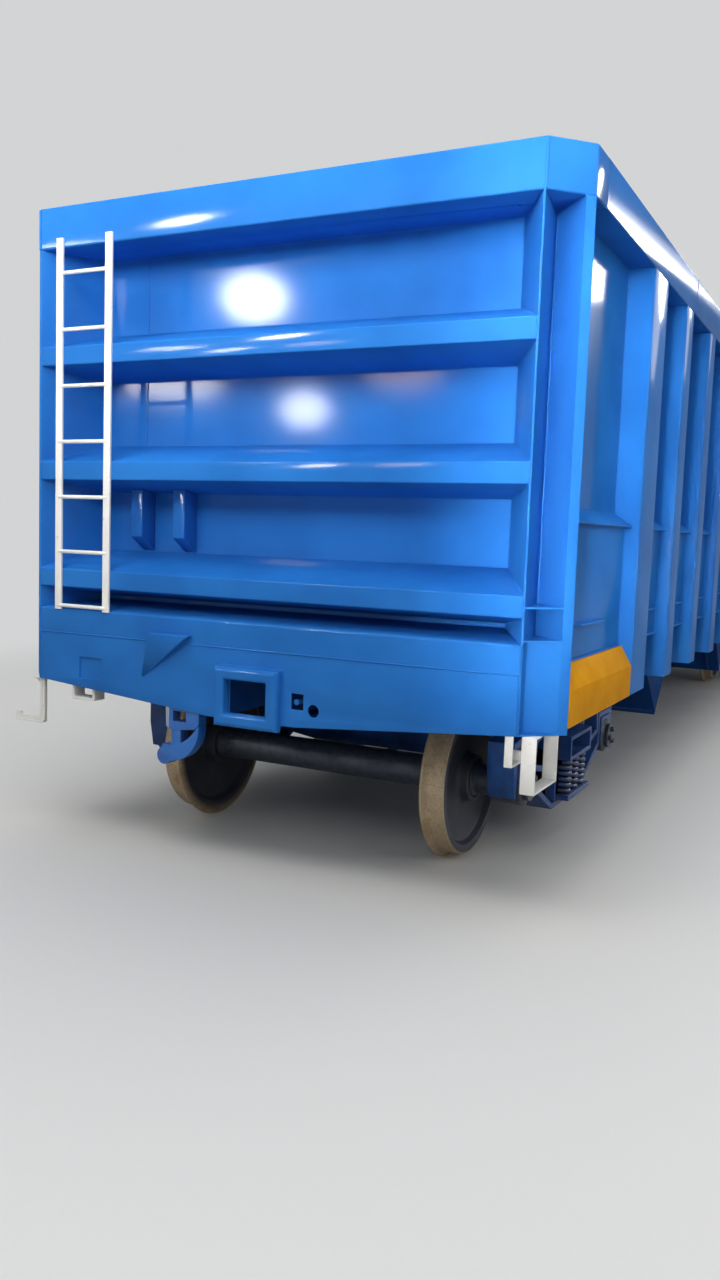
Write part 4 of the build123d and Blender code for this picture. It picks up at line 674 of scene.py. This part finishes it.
# %% [markdown]
# The axle is one forging turned between centres: a plain middle, a raised seat for each wheel, a
# neck, and a journal in its bearing. A round keeper plate closes each end. The bearing is a steel
# cup with a seal pressed into each side and a groove where the halves of its race meet.

# %% Turned axles and bearings
JOURNAL_X = 1.110
AXLE_HALF = [
    (0.050, 0.087), (0.690, 0.087), (0.738, 0.098), (0.916, 0.098), (0.930, 0.080), (1.010, 0.080),
    (1.012, 0.066), (1.208, 0.066), (1.210, 0.080), (1.229, 0.080), (1.229, 0.018), (1.221, 0.0),
]
AXLE_ROUNDS = [0.0, 0.04, 0.012, 0.006, 0.02, 0.003, 0.001, 0.001, 0.002, 0.005, 0.002]
CUP = [
    (-0.095, 0.069), (-0.095, 0.092), (-0.088, 0.095), (-0.088, 0.104), (-0.080, 0.110), (-0.006, 0.110),
    (-0.004, 0.107), (0.004, 0.107), (0.006, 0.110), (0.080, 0.110), (0.088, 0.104), (0.088, 0.095),
    (0.095, 0.092), (0.095, 0.069),
]


def turned_axle(name):
    half = rounded_line(AXLE_HALF, AXLE_ROUNDS[:-1])
    profile = [(-x, r) for x, r in reversed(half)] + [(x, r) for x, r in half]
    return spun(name, profile, 1, steps=64)


for index, y in enumerate(AXLE_YS, 1):
    mesh = turned_axle(f"turned_axle_{index}")
    mesh.transform(Matrix.Translation((0, y, AXLE_Z)))
    axle = place_piece(mesh.name, mesh, f"wheelset_{index}", dark_steel)
    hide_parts(f"axle_{index}")

cup_profile = rounded_line(CUP + CUP[:1], [0.002] * 13)[:-1]
for end, ys in (("front", AXLE_YS[:2]), ("rear", AXLE_YS[2:])):
    cups = []
    for y in ys:
        for side in (1, -1):
            cup = spun("cup", cup_profile, side, steps=64)
            cup.transform(Matrix.Translation((side * JOURNAL_X, y, AXLE_Z)))
            cups.append(cup)
    mesh = merged(f"bearing_cups_{end}", cups, 35)
    bearings = place_piece(mesh.name, mesh, f"bogie_{end}", dark_steel)
    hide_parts(f"bearings_{end}")
print("axle and bearing faces", len(bpy.data.meshes["turned_axle_1"].polygons), len(mesh.polygons))

# %% [markdown]
# ## Springs, seams, bolts and pipes
# These repeat by the dozen, so Geometry Nodes grow each kind from a mesh of bare points or lines.
# A tree has named sizes and a finish as inputs. It ends in real meshes, as the export needs.

# %% Trees that grow meshes


def growing_tree(name, sizes):
    """Geometry tree with a geometry input, named sizes, a finish and a geometry output."""
    tree = bpy.data.node_groups.new(name, "GeometryNodeTree")
    face = tree.interface
    face.new_socket("Geometry", in_out="INPUT", socket_type="NodeSocketGeometry")
    for label, value in sizes.items():
        kind = "NodeSocketInt" if isinstance(value, int) else "NodeSocketFloat"
        face.new_socket(label, in_out="INPUT", socket_type=kind).default_value = value
    face.new_socket("Finish", in_out="INPUT", socket_type="NodeSocketMaterial")
    face.new_socket("Geometry", in_out="OUTPUT", socket_type="NodeSocketGeometry")
    return tree, tree.nodes.new("NodeGroupInput").outputs


def close_tree(tree, geometry, finish):
    """Real meshes with their finish at the end of a tree."""
    real = add_node(tree, "GeometryNodeRealizeInstances", {"Geometry": geometry})
    dressed = add_node(tree, "GeometryNodeSetMaterial", {"Geometry": real, "Material": finish})
    add_node(tree, "NodeGroupOutput", {"Geometry": dressed})


def grown(name, seed_mesh, tree, finish, sizes=None):
    """Plain mesh that a tree grows on a seed mesh, its inputs set by identifier."""
    seed = put_in_scene(name + "_seed", seed_mesh)
    modifier = seed.modifiers.new("grow", "NODES")
    modifier.node_group = tree
    wanted = dict(sizes or {}, Finish=finish)
    for item in tree.interface.items_tree:
        if item.in_out == "INPUT" and item.name in wanted:
            modifier[item.identifier] = wanted[item.name]
    mesh = plain_mesh(seed)
    mesh.name = name
    return mesh


def points_mesh(name, points, outs=None):
    """Loose points, each with an optional outward direction."""
    mesh = bpy.data.meshes.new(name)
    mesh.from_pydata([tuple(p) for p in points], [], [])
    if outs is not None:
        directions = mesh.attributes.new("out", "FLOAT_VECTOR", "POINT")
        directions.data.foreach_set("vector", [c for out in outs for c in out])
    return mesh


print("node groups before the first tree", len(bpy.data.node_groups))

# %% [markdown]
# Each bogie side rests on six springs. A coil is a spiral with a round wire, which a tree makes
# from a spiral curve and a circle, stood on every spring place at once.

# %% Coil springs
SPRING_PITCH, SPRING_FOOT, SPRING_HEIGHT = 0.146, 0.262, 0.208
spring_tree, ports = growing_tree("coil_springs", {
    "Coil radius": 0.053, "Wire radius": 0.0145, "Turns": 5.2, "Height": SPRING_HEIGHT})
wire_room = add_node(spring_tree, "ShaderNodeMath", {0: ports["Wire radius"], 1: -2.0}, operation="MULTIPLY")
rise = add_node(spring_tree, "ShaderNodeMath", {0: ports["Height"], 1: wire_room}, operation="ADD")
coil = add_node(spring_tree, "GeometryNodeCurveSpiral", {
    "Resolution": 22, "Rotations": ports["Turns"], "Start Radius": ports["Coil radius"],
    "End Radius": ports["Coil radius"], "Height": rise})
raised = add_node(spring_tree, "ShaderNodeCombineXYZ", {"Z": ports["Wire radius"]})
lifted = add_node(spring_tree, "GeometryNodeTransform", {"Geometry": coil, "Translation": raised})
wire = add_node(spring_tree, "GeometryNodeCurvePrimitiveCircle", {
    "Resolution": 10, "Radius": ports["Wire radius"]})
drawn = add_node(spring_tree, "GeometryNodeCurveToMesh", {
    "Curve": lifted, "Profile Curve": wire.outputs["Curve"], "Fill Caps": True})
stood = add_node(spring_tree, "GeometryNodeInstanceOnPoints", {"Points": ports["Geometry"], "Instance": drawn})
close_tree(spring_tree, stood, ports["Finish"])

for end, y in (("front", -BOGIE_Y), ("rear", BOGIE_Y)):
    places = []
    for side in (1, -1):
        for i in (-0.5, 0.5):
            for j in (-1, 0, 1):
                places.append((side * (JOURNAL_X + i * SPRING_PITCH), y + j * SPRING_PITCH, SPRING_FOOT))
    coils = grown(f"coil_springs_{end}", points_mesh("spring_feet", places), spring_tree, spring_blue)
    coils.shade_smooth()
    piece = place_piece(coils.name, coils, f"bogie_{end}")
    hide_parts(f"springs_{end}")
    print(piece.name, len(coils.polygons), "faces")

# %% [markdown]
# ## Weld beads
# Every seam of the body was welded by hand and painted over. A bead is a rope of overlapping
# scales, about 8 mm wide. Each seam is a line here, and Geometry Nodes run a small ring along it,
# with ripples where the arc stopped and went on, and a slow wander in width.

# %% Weld bead tree
bead_tree, ports = growing_tree("weld_beads", {
    "Bead radius": 0.0042, "Ring spacing": 0.010, "Ripple": 0.22, "Ripple pitch": 0.034, "Seed": 3.0})
run = add_node(bead_tree, "GeometryNodeMeshToCurve", {"Mesh": ports["Geometry"]})
rings = add_node(bead_tree, "GeometryNodeResampleCurve", {"Curve": run, "Length": ports["Ring spacing"]},
                 mode="LENGTH")
along = add_node(bead_tree, "GeometryNodeSplineParameter").outputs["Length"]
turns = add_node(bead_tree, "ShaderNodeMath", {0: along, 1: ports["Ripple pitch"]}, operation="DIVIDE")
phase = add_node(bead_tree, "ShaderNodeMath", {0: turns, 1: 2 * math.pi}, operation="MULTIPLY")
wave = add_node(bead_tree, "ShaderNodeMath", {0: phase}, operation="SINE")
ripple = add_node(bead_tree, "ShaderNodeMath", {0: wave, 1: ports["Ripple"]}, operation="MULTIPLY")
spot = add_node(bead_tree, "GeometryNodeInputPosition")
wander = add_node(bead_tree, "ShaderNodeTexNoise", {"Vector": spot, "W": ports["Seed"], "Scale": 14.0},
                  noise_dimensions="4D")
width = add_node(bead_tree, "ShaderNodeMath", {0: wander, 1: 0.55}, operation="ADD")
swell = add_node(bead_tree, "ShaderNodeMath", {0: width, 1: ripple}, operation="ADD")
ring = add_node(bead_tree, "GeometryNodeCurvePrimitiveCircle", {
    "Resolution": 6, "Radius": ports["Bead radius"]})
sized = add_node(bead_tree, "GeometryNodeSetCurveRadius", {"Curve": rings, "Radius": swell})
rope = add_node(bead_tree, "GeometryNodeCurveToMesh", {
    "Curve": sized, "Profile Curve": ring.outputs["Curve"], "Fill Caps": True})
close_tree(bead_tree, rope, ports["Finish"])
print(bead_tree.name, len(bead_tree.nodes), "nodes")


def seam_mesh(name, lines):
    """Edges along each seam line, one run of points after another."""
    points, edges = [], []
    for line in lines:
        first = len(points)
        points += [tuple(p) for p in line]
        edges += [(first + i, first + i + 1) for i in range(len(line) - 1)]
    mesh = bpy.data.meshes.new(name)
    mesh.from_pydata(points, edges, [])
    return mesh


def weld(name, lines, sizes=None):
    """Painted beads along seam lines, as one piece that rides with the wagon."""
    mesh = grown(name, seam_mesh("seams", lines), bead_tree, blue_enamel, sizes)
    mesh.shade_smooth()
    place_piece(mesh.name, mesh, "wagon")
    print(mesh.name, len(mesh.polygons), "faces")


# %% [markdown]
# The seams of an end: ribs to sheet and to the posts, cap to headstock, the sheet's own joint, the
# post's shelves and the frame round the coupler pocket. Both ends have the same seams, turned half
# round.

# %% Seams of the ends
SHEET_DEPTH = 0.350
RIB_ZS, RIB_FRONT, RIB_RISE = (1.410, 2.000, 2.620), 0.098, 0.112
CAP_TOP, CAP_BACK, SEAM_Z, CHORD_Z, BODY_TOP = 1.290, 1.332, 1.153, 3.240, 3.460
POST_BOTTOM = 0.880
FRONT_X, VALLEY, LOW_VALLEY, RIDGE = 1.427, (1.373, 0.345), (1.415, 0.095), (1.564, 0.137)
HALF_WIDTH, LEG_FOOT_X, RIB_DROP, JOINT_X = 1.600, 1.220, 0.055, 0.956
SHELF_LEVELS = (1.304, 1.312, 1.453, 1.461)
POCKET_X, POCKET_LOW, POCKET_HIGH = 0.190, 0.785, 1.065


def inner_x(depth):
    """Half width between the posts' inner legs at a depth."""
    return FRONT_X - 0.009 - (FRONT_X - 0.009 - LEG_FOOT_X) / SHEET_DEPTH * depth


def end_seams():
    """Seam lines of the -Y end, as points in the row frame."""
    lines = []

    def add(*points):
        lines.append([(x, -END_Y + depth, z) for x, depth, z in points])

    back = inner_x(SHEET_DEPTH)
    for z in RIB_ZS:
        top = z + RIB_FRONT + RIB_RISE
        for level in (z - RIB_DROP, top):
            add((-back, SHEET_DEPTH, level), (back, SHEET_DEPTH, level))
        for side in (-1, 1):
            front = side * inner_x(0)
            add((front, 0, z), (front, 0, z + RIB_FRONT), (side * back, SHEET_DEPTH, top))
            add((front, 0, z), (side * back, SHEET_DEPTH, z - RIB_DROP))
    add((-back, SHEET_DEPTH, CAP_BACK), (back, SHEET_DEPTH, CAP_BACK))
    add((-back, SHEET_DEPTH, CHORD_Z), (back, SHEET_DEPTH, CHORD_Z))
    add((-FRONT_X + 0.012, -0.0005, SEAM_Z), (FRONT_X - 0.012, -0.0005, SEAM_Z))
    tops = [CAP_BACK] + [z + RIB_FRONT + RIB_RISE for z in RIB_ZS]
    for low, high in zip(tops, [z - RIB_DROP for z in RIB_ZS] + [CHORD_Z]):
        for x in (-back, back, -JOINT_X):
            add((x, SHEET_DEPTH, low), (x, SHEET_DEPTH, high))
    for side in (-1, 1):
        corner, (valley, depth), (ridge, ridge_depth) = side * FRONT_X, VALLEY, RIDGE
        add((side * (FRONT_X - 0.008), 0, POST_BOTTOM), (side * (FRONT_X - 0.008), 0, CAP_TOP))
        for level in SHELF_LEVELS + (CHORD_Z,):
            add((corner, 0.002, level), (side * valley, depth, level), (side * ridge, ridge_depth, level))
        x, y = side * (valley + 0.008), depth - 0.012
        add((x, y, SHELF_LEVELS[-1]), (x, y, CHORD_Z))
        x, y = side * LOW_VALLEY[0], LOW_VALLEY[1] - 0.006
        add((x, y, POST_BOTTOM), (x, y, SHELF_LEVELS[0]))
    add((-POCKET_X, 0, POCKET_LOW), (-POCKET_X, 0, POCKET_HIGH),
        (POCKET_X, 0, POCKET_HIGH), (POCKET_X, 0, POCKET_LOW))
    return lines


def turned(lines):
    return [[(-x, -y, z) for x, y, z in line] for line in lines]


seams = end_seams()
weld("end_welds_front", seams)
weld("end_welds_rear", turned(seams))

# %% [markdown]
# Some seams were built up by hand in thick, uneven runs: the corner of the chord at each post,
# and the top edge of the amber boxes. They get the same bead, twice as thick and with deeper
# ripples.

# %% Rough beads
BOX_X, BOX_Z, BOX_START, BOX_STEP = 1.520, 1.186, 0.182, 0.308
ROUGH_BEAD = {"Bead radius": 0.0075, "Ripple": 0.4, "Ripple pitch": 0.023, "Seed": 8.0}


def rough_seams():
    lines = []
    for side in (-1, 1):
        x, y = side * FRONT_X, -END_Y + 0.001
        lines.append([(x, y, CHORD_Z + 0.004), (x, y, BODY_TOP - 0.008)])
        lines.append([(side * BOX_X, -END_Y + BOX_START + BOX_STEP * i, BOX_Z) for i in range(5)])
    return lines


seams = rough_seams()
weld("rough_beads_front", seams, ROUGH_BEAD)
weld("rough_beads_rear", turned(seams), ROUGH_BEAD)

# %% [markdown]
# The seams of a side: each stake's two feet, the ledge, the bottom of the panel, the amber box and
# the joint in the chord.

# %% Seams of the sides
SIDE_X, PANEL_X = 1.457, 1.515
STAKE_LOW, PANEL_LOW, LEDGE_LIP_Z, LEDGE_ROOT_Z = 0.908, 1.185, 1.842, 1.912
STAKE_YS = [-4.535 + i * 0.907 for i in range(11)]
SHEET_START, BOX_END, PANEL_START, CHORD_JOINT = 0.290, 1.416, 1.810, 2.700
WIDE_STAKE, NARROW_STAKE = (0.190, 0.180), (0.125, 0.110)
SIDE_BEAD = {"Ring spacing": 0.014, "Bead radius": 0.0045}


def side_seams():
    lines = []
    for i, y in enumerate(STAKE_YS):
        foot, face = WIDE_STAKE if i in (0, 10) else NARROW_STAKE
        lean = (foot - face) / (HALF_WIDTH - SIDE_X)
        for side in (-1, 1):
            at_sheet = y + side * foot
            at_panel = y + side * (foot - lean * (PANEL_X - SIDE_X))
            lines.append([(SIDE_X, at_sheet, LEDGE_ROOT_Z + 0.008), (SIDE_X, at_sheet, CHORD_Z)])
            lines.append([(PANEL_X, at_panel, PANEL_LOW), (PANEL_X, at_panel, LEDGE_LIP_Z + 0.03)])
            lines.append([(SIDE_X, at_sheet, STAKE_LOW + 0.03), (SIDE_X, at_sheet, PANEL_LOW)])
    start, end = -END_Y + SHEET_START, END_Y - SHEET_START
    lines.append([(SIDE_X, start, LEDGE_ROOT_Z + 0.008), (SIDE_X, end, LEDGE_ROOT_Z + 0.008)])
    lines.append([(PANEL_X, start, LEDGE_LIP_Z + 0.03), (PANEL_X, end, LEDGE_LIP_Z + 0.03)])
    for sign in (-1, 1):
        y0, y1 = sign * (END_Y - BOX_START), sign * (END_Y - BOX_END)
        lines.append([(PANEL_X, y0, PANEL_LOW + 0.001), (PANEL_X, y1, PANEL_LOW + 0.001)])
        joint = sign * (END_Y - CHORD_JOINT)
        lines.append([(HALF_WIDTH - 0.001, joint, CHORD_Z), (HALF_WIDTH - 0.001, joint, BODY_TOP)])
    lines.append([(PANEL_X, -END_Y + PANEL_START, PANEL_LOW), (PANEL_X, END_Y - PANEL_START, PANEL_LOW)])
    return lines


seams = side_seams()
weld("side_welds_right", seams, SIDE_BEAD)
weld("side_welds_left", turned(seams), SIDE_BEAD)

# %% [markdown]
# ## The step by the ladder
# The step under the left corner is a flat bar with its wide face to the front, sawn to a J and
# welded to the edge of its hanger. It's cut from plate here, with its edges broken by 2 mm, which
# a bevel does for all of them at once.

# %% J step
J_OUTLINE = [
    (-1.446, 0.878), (-1.408, 0.878), (-1.408, 0.636), (-1.424, 0.615), (-1.612, 0.615),
    (-1.626, 0.627), (-1.626, 0.665), (-1.590, 0.665), (-1.590, 0.651), (-1.458, 0.651), (-1.446, 0.662),
]
J_FACE, J_BACK = 0.024, 0.038


def cut_plate(name, outline, y0, y1, edge_mm=2.0):
    """Plate from an (x, z) outline between two places along the track, its edges broken."""
    shape = bmesh.new()
    front = [shape.verts.new((x, y0, z)) for x, z in outline]
    back = [shape.verts.new((x, y1, z)) for x, z in outline]
    shape.faces.new(front)
    shape.faces.new(list(reversed(back)))
    for i in range(len(outline)):
        j = (i + 1) % len(outline)
        shape.faces.new((front[j], front[i], back[i], back[j]))
    bmesh.ops.recalc_face_normals(shape, faces=shape.faces)
    bmesh.ops.bevel(shape, geom=list(shape.edges), offset=edge_mm / 1000, segments=2, affect="EDGES",
                    clamp_overlap=True)
    return mesh_from(shape, name, 40)


for sign, name in ((1, "j_step_front"), (-1, "j_step_rear")):
    outline = [(sign * x, z) for x, z in J_OUTLINE]
    mesh = cut_plate(name, outline, -sign * (END_Y - J_FACE), -sign * (END_Y - J_BACK))
    place_piece(mesh.name, mesh, "wagon", white_enamel)
    print(mesh.name, len(mesh.polygons), "faces")

# %% [markdown]
# ## Bolts
# Steps, keeper plates, the centre plate and the brake cylinder are bolted on. A bolt is a washer, a
# hexagon with a turned chamfer on top, and it's made once. Geometry Nodes stand one on each point,
# along the direction that the point carries, each turned to a different angle, as tightening
# leaves them.

# %% Bolt tree
bolt_tree, ports = growing_tree("hexagon_bolts", {"Across flats": 0.024, "Head height": 0.013, "Seed": 5})
SHARES = {
    "hexagon r": ("Across flats", 0.577), "chamfer r": ("Across flats", 0.50), "top r": ("Across flats", 0.43),
    "washer r": ("Across flats", 0.74), "chamfer": ("Head height", 0.16), "washer": ("Head height", 0.22),
    "washer lift": ("Head height", 0.11), "hexagon lift": ("Head height", 0.72),
    "top lift": ("Head height", 1.22),
}
size = {
    part: add_node(bolt_tree, "ShaderNodeMath", {0: ports[whole], 1: share}, operation="MULTIPLY")
    for part, (whole, share) in SHARES.items()
}
hexagon = add_node(bolt_tree, "GeometryNodeMeshCylinder", {
    "Vertices": 6, "Radius": size["hexagon r"], "Depth": ports["Head height"]})
chamfer = add_node(bolt_tree, "GeometryNodeMeshCone", {
    "Vertices": 12, "Radius Bottom": size["chamfer r"], "Radius Top": size["top r"], "Depth": size["chamfer"]})
washer = add_node(bolt_tree, "GeometryNodeMeshCylinder", {
    "Vertices": 16, "Radius": size["washer r"], "Depth": size["washer"]})
parts = []
for shape, lift in ((hexagon, "hexagon lift"), (chamfer, "top lift"), (washer, "washer lift")):
    place = add_node(bolt_tree, "ShaderNodeCombineXYZ", {"Z": size[lift]})
    parts.append(add_node(bolt_tree, "GeometryNodeTransform", {"Geometry": shape, "Translation": place}))
bolt = add_node(bolt_tree, "GeometryNodeJoinGeometry")
for part in parts:
    bolt_tree.links.new(part.outputs[0], bolt.inputs[0])
facing = add_node(bolt_tree, "GeometryNodeInputNamedAttribute", {"Name": "out"},
                  data_type="FLOAT_VECTOR")
aimed = add_node(bolt_tree, "FunctionNodeAlignRotationToVector", {"Vector": facing}, axis="Z")
spin = add_node(bolt_tree, "FunctionNodeRandomValue", {"Seed": ports["Seed"], 3: 6.283},
                data_type="FLOAT")
twist = add_node(bolt_tree, "FunctionNodeAxisAngleToRotation", {"Angle": spin})
set_right = add_node(bolt_tree, "FunctionNodeRotateRotation", {"Rotation": aimed, "Rotate By": twist},
                     rotation_space="LOCAL")
fixed = add_node(bolt_tree, "GeometryNodeInstanceOnPoints", {
    "Points": ports["Geometry"], "Instance": bolt, "Rotation": set_right})
close_tree(bolt_tree, fixed, ports["Finish"])
print(bolt_tree.name, len(bolt_tree.nodes), "nodes")

# %% [markdown]
# Each group of bolts is a list of places and directions, one group for each moving body.

# %% Bolts
KEEPER_X, KEEPER_BOLT_R = 1.229, 0.046
CYLINDER_X, CYLINDER_Z, FLANGE_Y, FLANGE_BOLT_R = 0.395, 0.870, (0.230, 0.262), 0.146
CENTRE_PLATE_Z, PLATE_BOLT_R = 0.778, 0.222
STEP_FOOT_Z, SILL_FOOT_Z = 0.870, 0.920


def ring_of(centre, radius, count, out, start=0.0):
    """Places on a circle round a centre, all facing along one axis."""
    out = Vector(out)
    across = out.orthogonal().normalized()
    other = out.cross(across)
    places = []
    for i in range(count):
        angle = start + 2 * math.pi * i / count
        offset = across * radius * math.cos(angle) + other * radius * math.sin(angle)
        places.append((Vector(centre) + offset, out))
    return places


def bolt_on(name, places, body, sizes, finish=None):
    seed = points_mesh("bolt_places", [p for p, out in places], [out for p, out in places])
    mesh = grown(name, seed, bolt_tree, finish or dark_steel, sizes)
    place_piece(mesh.name, mesh, body)
    print(name, len(places), "bolts,", len(mesh.polygons), "faces")


for index, y in enumerate(AXLE_YS, 1):
    keepers = []
    for side in (1, -1):
        keepers += ring_of((side * KEEPER_X, y, AXLE_Z), KEEPER_BOLT_R, 3, (side, 0, 0), 0.4)
    bolt_on(f"keeper_bolts_{index}", keepers, f"wheelset_{index}",
            {"Across flats": 0.030, "Head height": 0.015})

flange = ring_of((CYLINDER_X, FLANGE_Y[1], CYLINDER_Z), FLANGE_BOLT_R, 8, (0, 1, 0))
flange += ring_of((CYLINDER_X, FLANGE_Y[0], CYLINDER_Z), FLANGE_BOLT_R, 8, (0, -1, 0))
bolt_on("cylinder_bolts", flange, "wagon", {"Across flats": 0.019, "Head height": 0.010})
plates = []
for sign in (-1, 1):
    plates += ring_of((0, sign * BOGIE_Y, CENTRE_PLATE_Z), PLATE_BOLT_R, 10, (0, 0, -1), 0.31)
bolt_on("centre_plate_bolts", plates, "wagon", {"Across flats": 0.026, "Head height": 0.013})
feet = [
    (-1.462, -END_Y + 0.042, STEP_FOOT_Z), (1.472, -END_Y + 0.075, STEP_FOOT_Z),
    (1.472, -END_Y + 0.315, SILL_FOOT_Z),
]
feet = [(Vector((sign * x, sign * y, z)), Vector((0, 0, -1))) for sign in (1, -1) for x, y, z in feet]
bolt_on("step_bolts", feet, "wagon", {"Across flats": 0.024, "Head height": 0.012},
        white_enamel)

# %% [markdown]
# ## Pipes and brake rigging
# Round bar and pipe follow lines with rounded bends: the air pipe beside the centre sill, the
# hangers that carry the brake beams, and the rod between the beams. Geometry Nodes fillet each line
# and run a circle along it.

# %% Pipe tree
pipe_tree, ports = growing_tree("bent_pipes", {"Pipe radius": 0.016, "Bend radius": 0.06})
run = add_node(pipe_tree, "GeometryNodeMeshToCurve", {"Mesh": ports["Geometry"]})
bent = add_node(pipe_tree, "GeometryNodeFilletCurve", {
    "Curve": run, "Count": 6, "Radius": ports["Bend radius"], "Limit Radius": True}, mode="POLY")
section = add_node(pipe_tree, "GeometryNodeCurvePrimitiveCircle", {
    "Resolution": 14, "Radius": ports["Pipe radius"]})
drawn = add_node(pipe_tree, "GeometryNodeCurveToMesh", {
    "Curve": bent, "Profile Curve": section.outputs["Curve"], "Fill Caps": True})
close_tree(pipe_tree, drawn, ports["Finish"])
print(pipe_tree.name, len(pipe_tree.nodes), "nodes")


def bent_pipes(name, lines, body, sizes, finish):
    mesh = grown(name, seam_mesh("lines", lines), pipe_tree, finish, sizes)
    mesh.shade_smooth()
    mesh.set_sharp_from_angle(angle=math.radians(50))
    place_piece(mesh.name, mesh, body)
    print(name, len(mesh.polygons), "faces")


# %% [markdown]
# The air pipe runs from the hole in the headstock, dips under the body bolster and follows the
# centre sill to the brake cylinder and, from the other end, to the reservoir. It rides with the
# wagon. The hangers and rods ride with their bogies, so each bogie has its own mesh.

# %% Pipes and rigging
PIPE_X, PIPE_HOLE_Z, SILL_SIDE_X, DIP_Z, RUN_Z = 0.371, 0.880, 0.204, 0.770, 0.850
TANK_X, TANK_Z = 0.425, 0.860
to_cylinder = [
    (PIPE_X, -5.95, PIPE_HOLE_Z), (PIPE_X, -4.95, PIPE_HOLE_Z), (PIPE_X, -4.80, DIP_Z), (PIPE_X, -4.05, DIP_Z),
    (PIPE_X, -3.90, RUN_Z), (SILL_SIDE_X, -3.70, RUN_Z), (SILL_SIDE_X, -0.62, RUN_Z),
    (CYLINDER_X, -0.45, CYLINDER_Z), (CYLINDER_X, -0.225, CYLINDER_Z),
]
to_tank = [(-x, -y, z) for x, y, z in to_cylinder[:6]]
to_tank += [(-SILL_SIDE_X, 0.85, RUN_Z), (-TANK_X, 0.66, TANK_Z), (-TANK_X, 0.455, TANK_Z)]
bent_pipes("air_pipes", [to_cylinder, to_tank], "wagon", {}, underframe_blue)
cock_stub = [(0.262, -END_Y + 0.022, 0.912), (0.262, -END_Y + 0.200, 0.912)]
cock_stubs = [cock_stub, [(-x, -y, z) for x, y, z in cock_stub]]
bent_pipes("cock_stubs", cock_stubs, "wagon", {"Pipe radius": 0.015}, blue_enamel)

BEAM_Y, BEAM_FOOT_Z, BEAM_END_X, FRAME_INSIDE_X = 0.3755, 0.364, 1.005, 1.045
HANGER_X, HANGER_TOP_Z, ROD_Z = 0.935, 0.655, 0.345
HANGER_BAR = {"Pipe radius": 0.012, "Bend radius": 0.03}
for end, y in (("front", -BOGIE_Y), ("rear", BOGIE_Y)):
    hangers = []
    for side in (1, -1):
        x, reach, inside = side * HANGER_X, side * BEAM_END_X, side * FRAME_INSIDE_X
        for at in (y + BEAM_Y, y - BEAM_Y):
            hangers.append([(x, at, BEAM_FOOT_Z), (x, at, HANGER_TOP_Z), (inside, at, HANGER_TOP_Z)])
            hangers.append([(x, at, BEAM_FOOT_Z), (reach, at, BEAM_FOOT_Z)])
    rods = [[(0.0, y - BEAM_Y, ROD_Z), (0.0, y + BEAM_Y, ROD_Z)]]
    bent_pipes(f"brake_hangers_{end}", hangers, f"bogie_{end}", HANGER_BAR, dark_steel)
    bent_pipes(f"brake_rods_{end}", rods, f"bogie_{end}", {"Pipe radius": 0.018}, dark_steel)
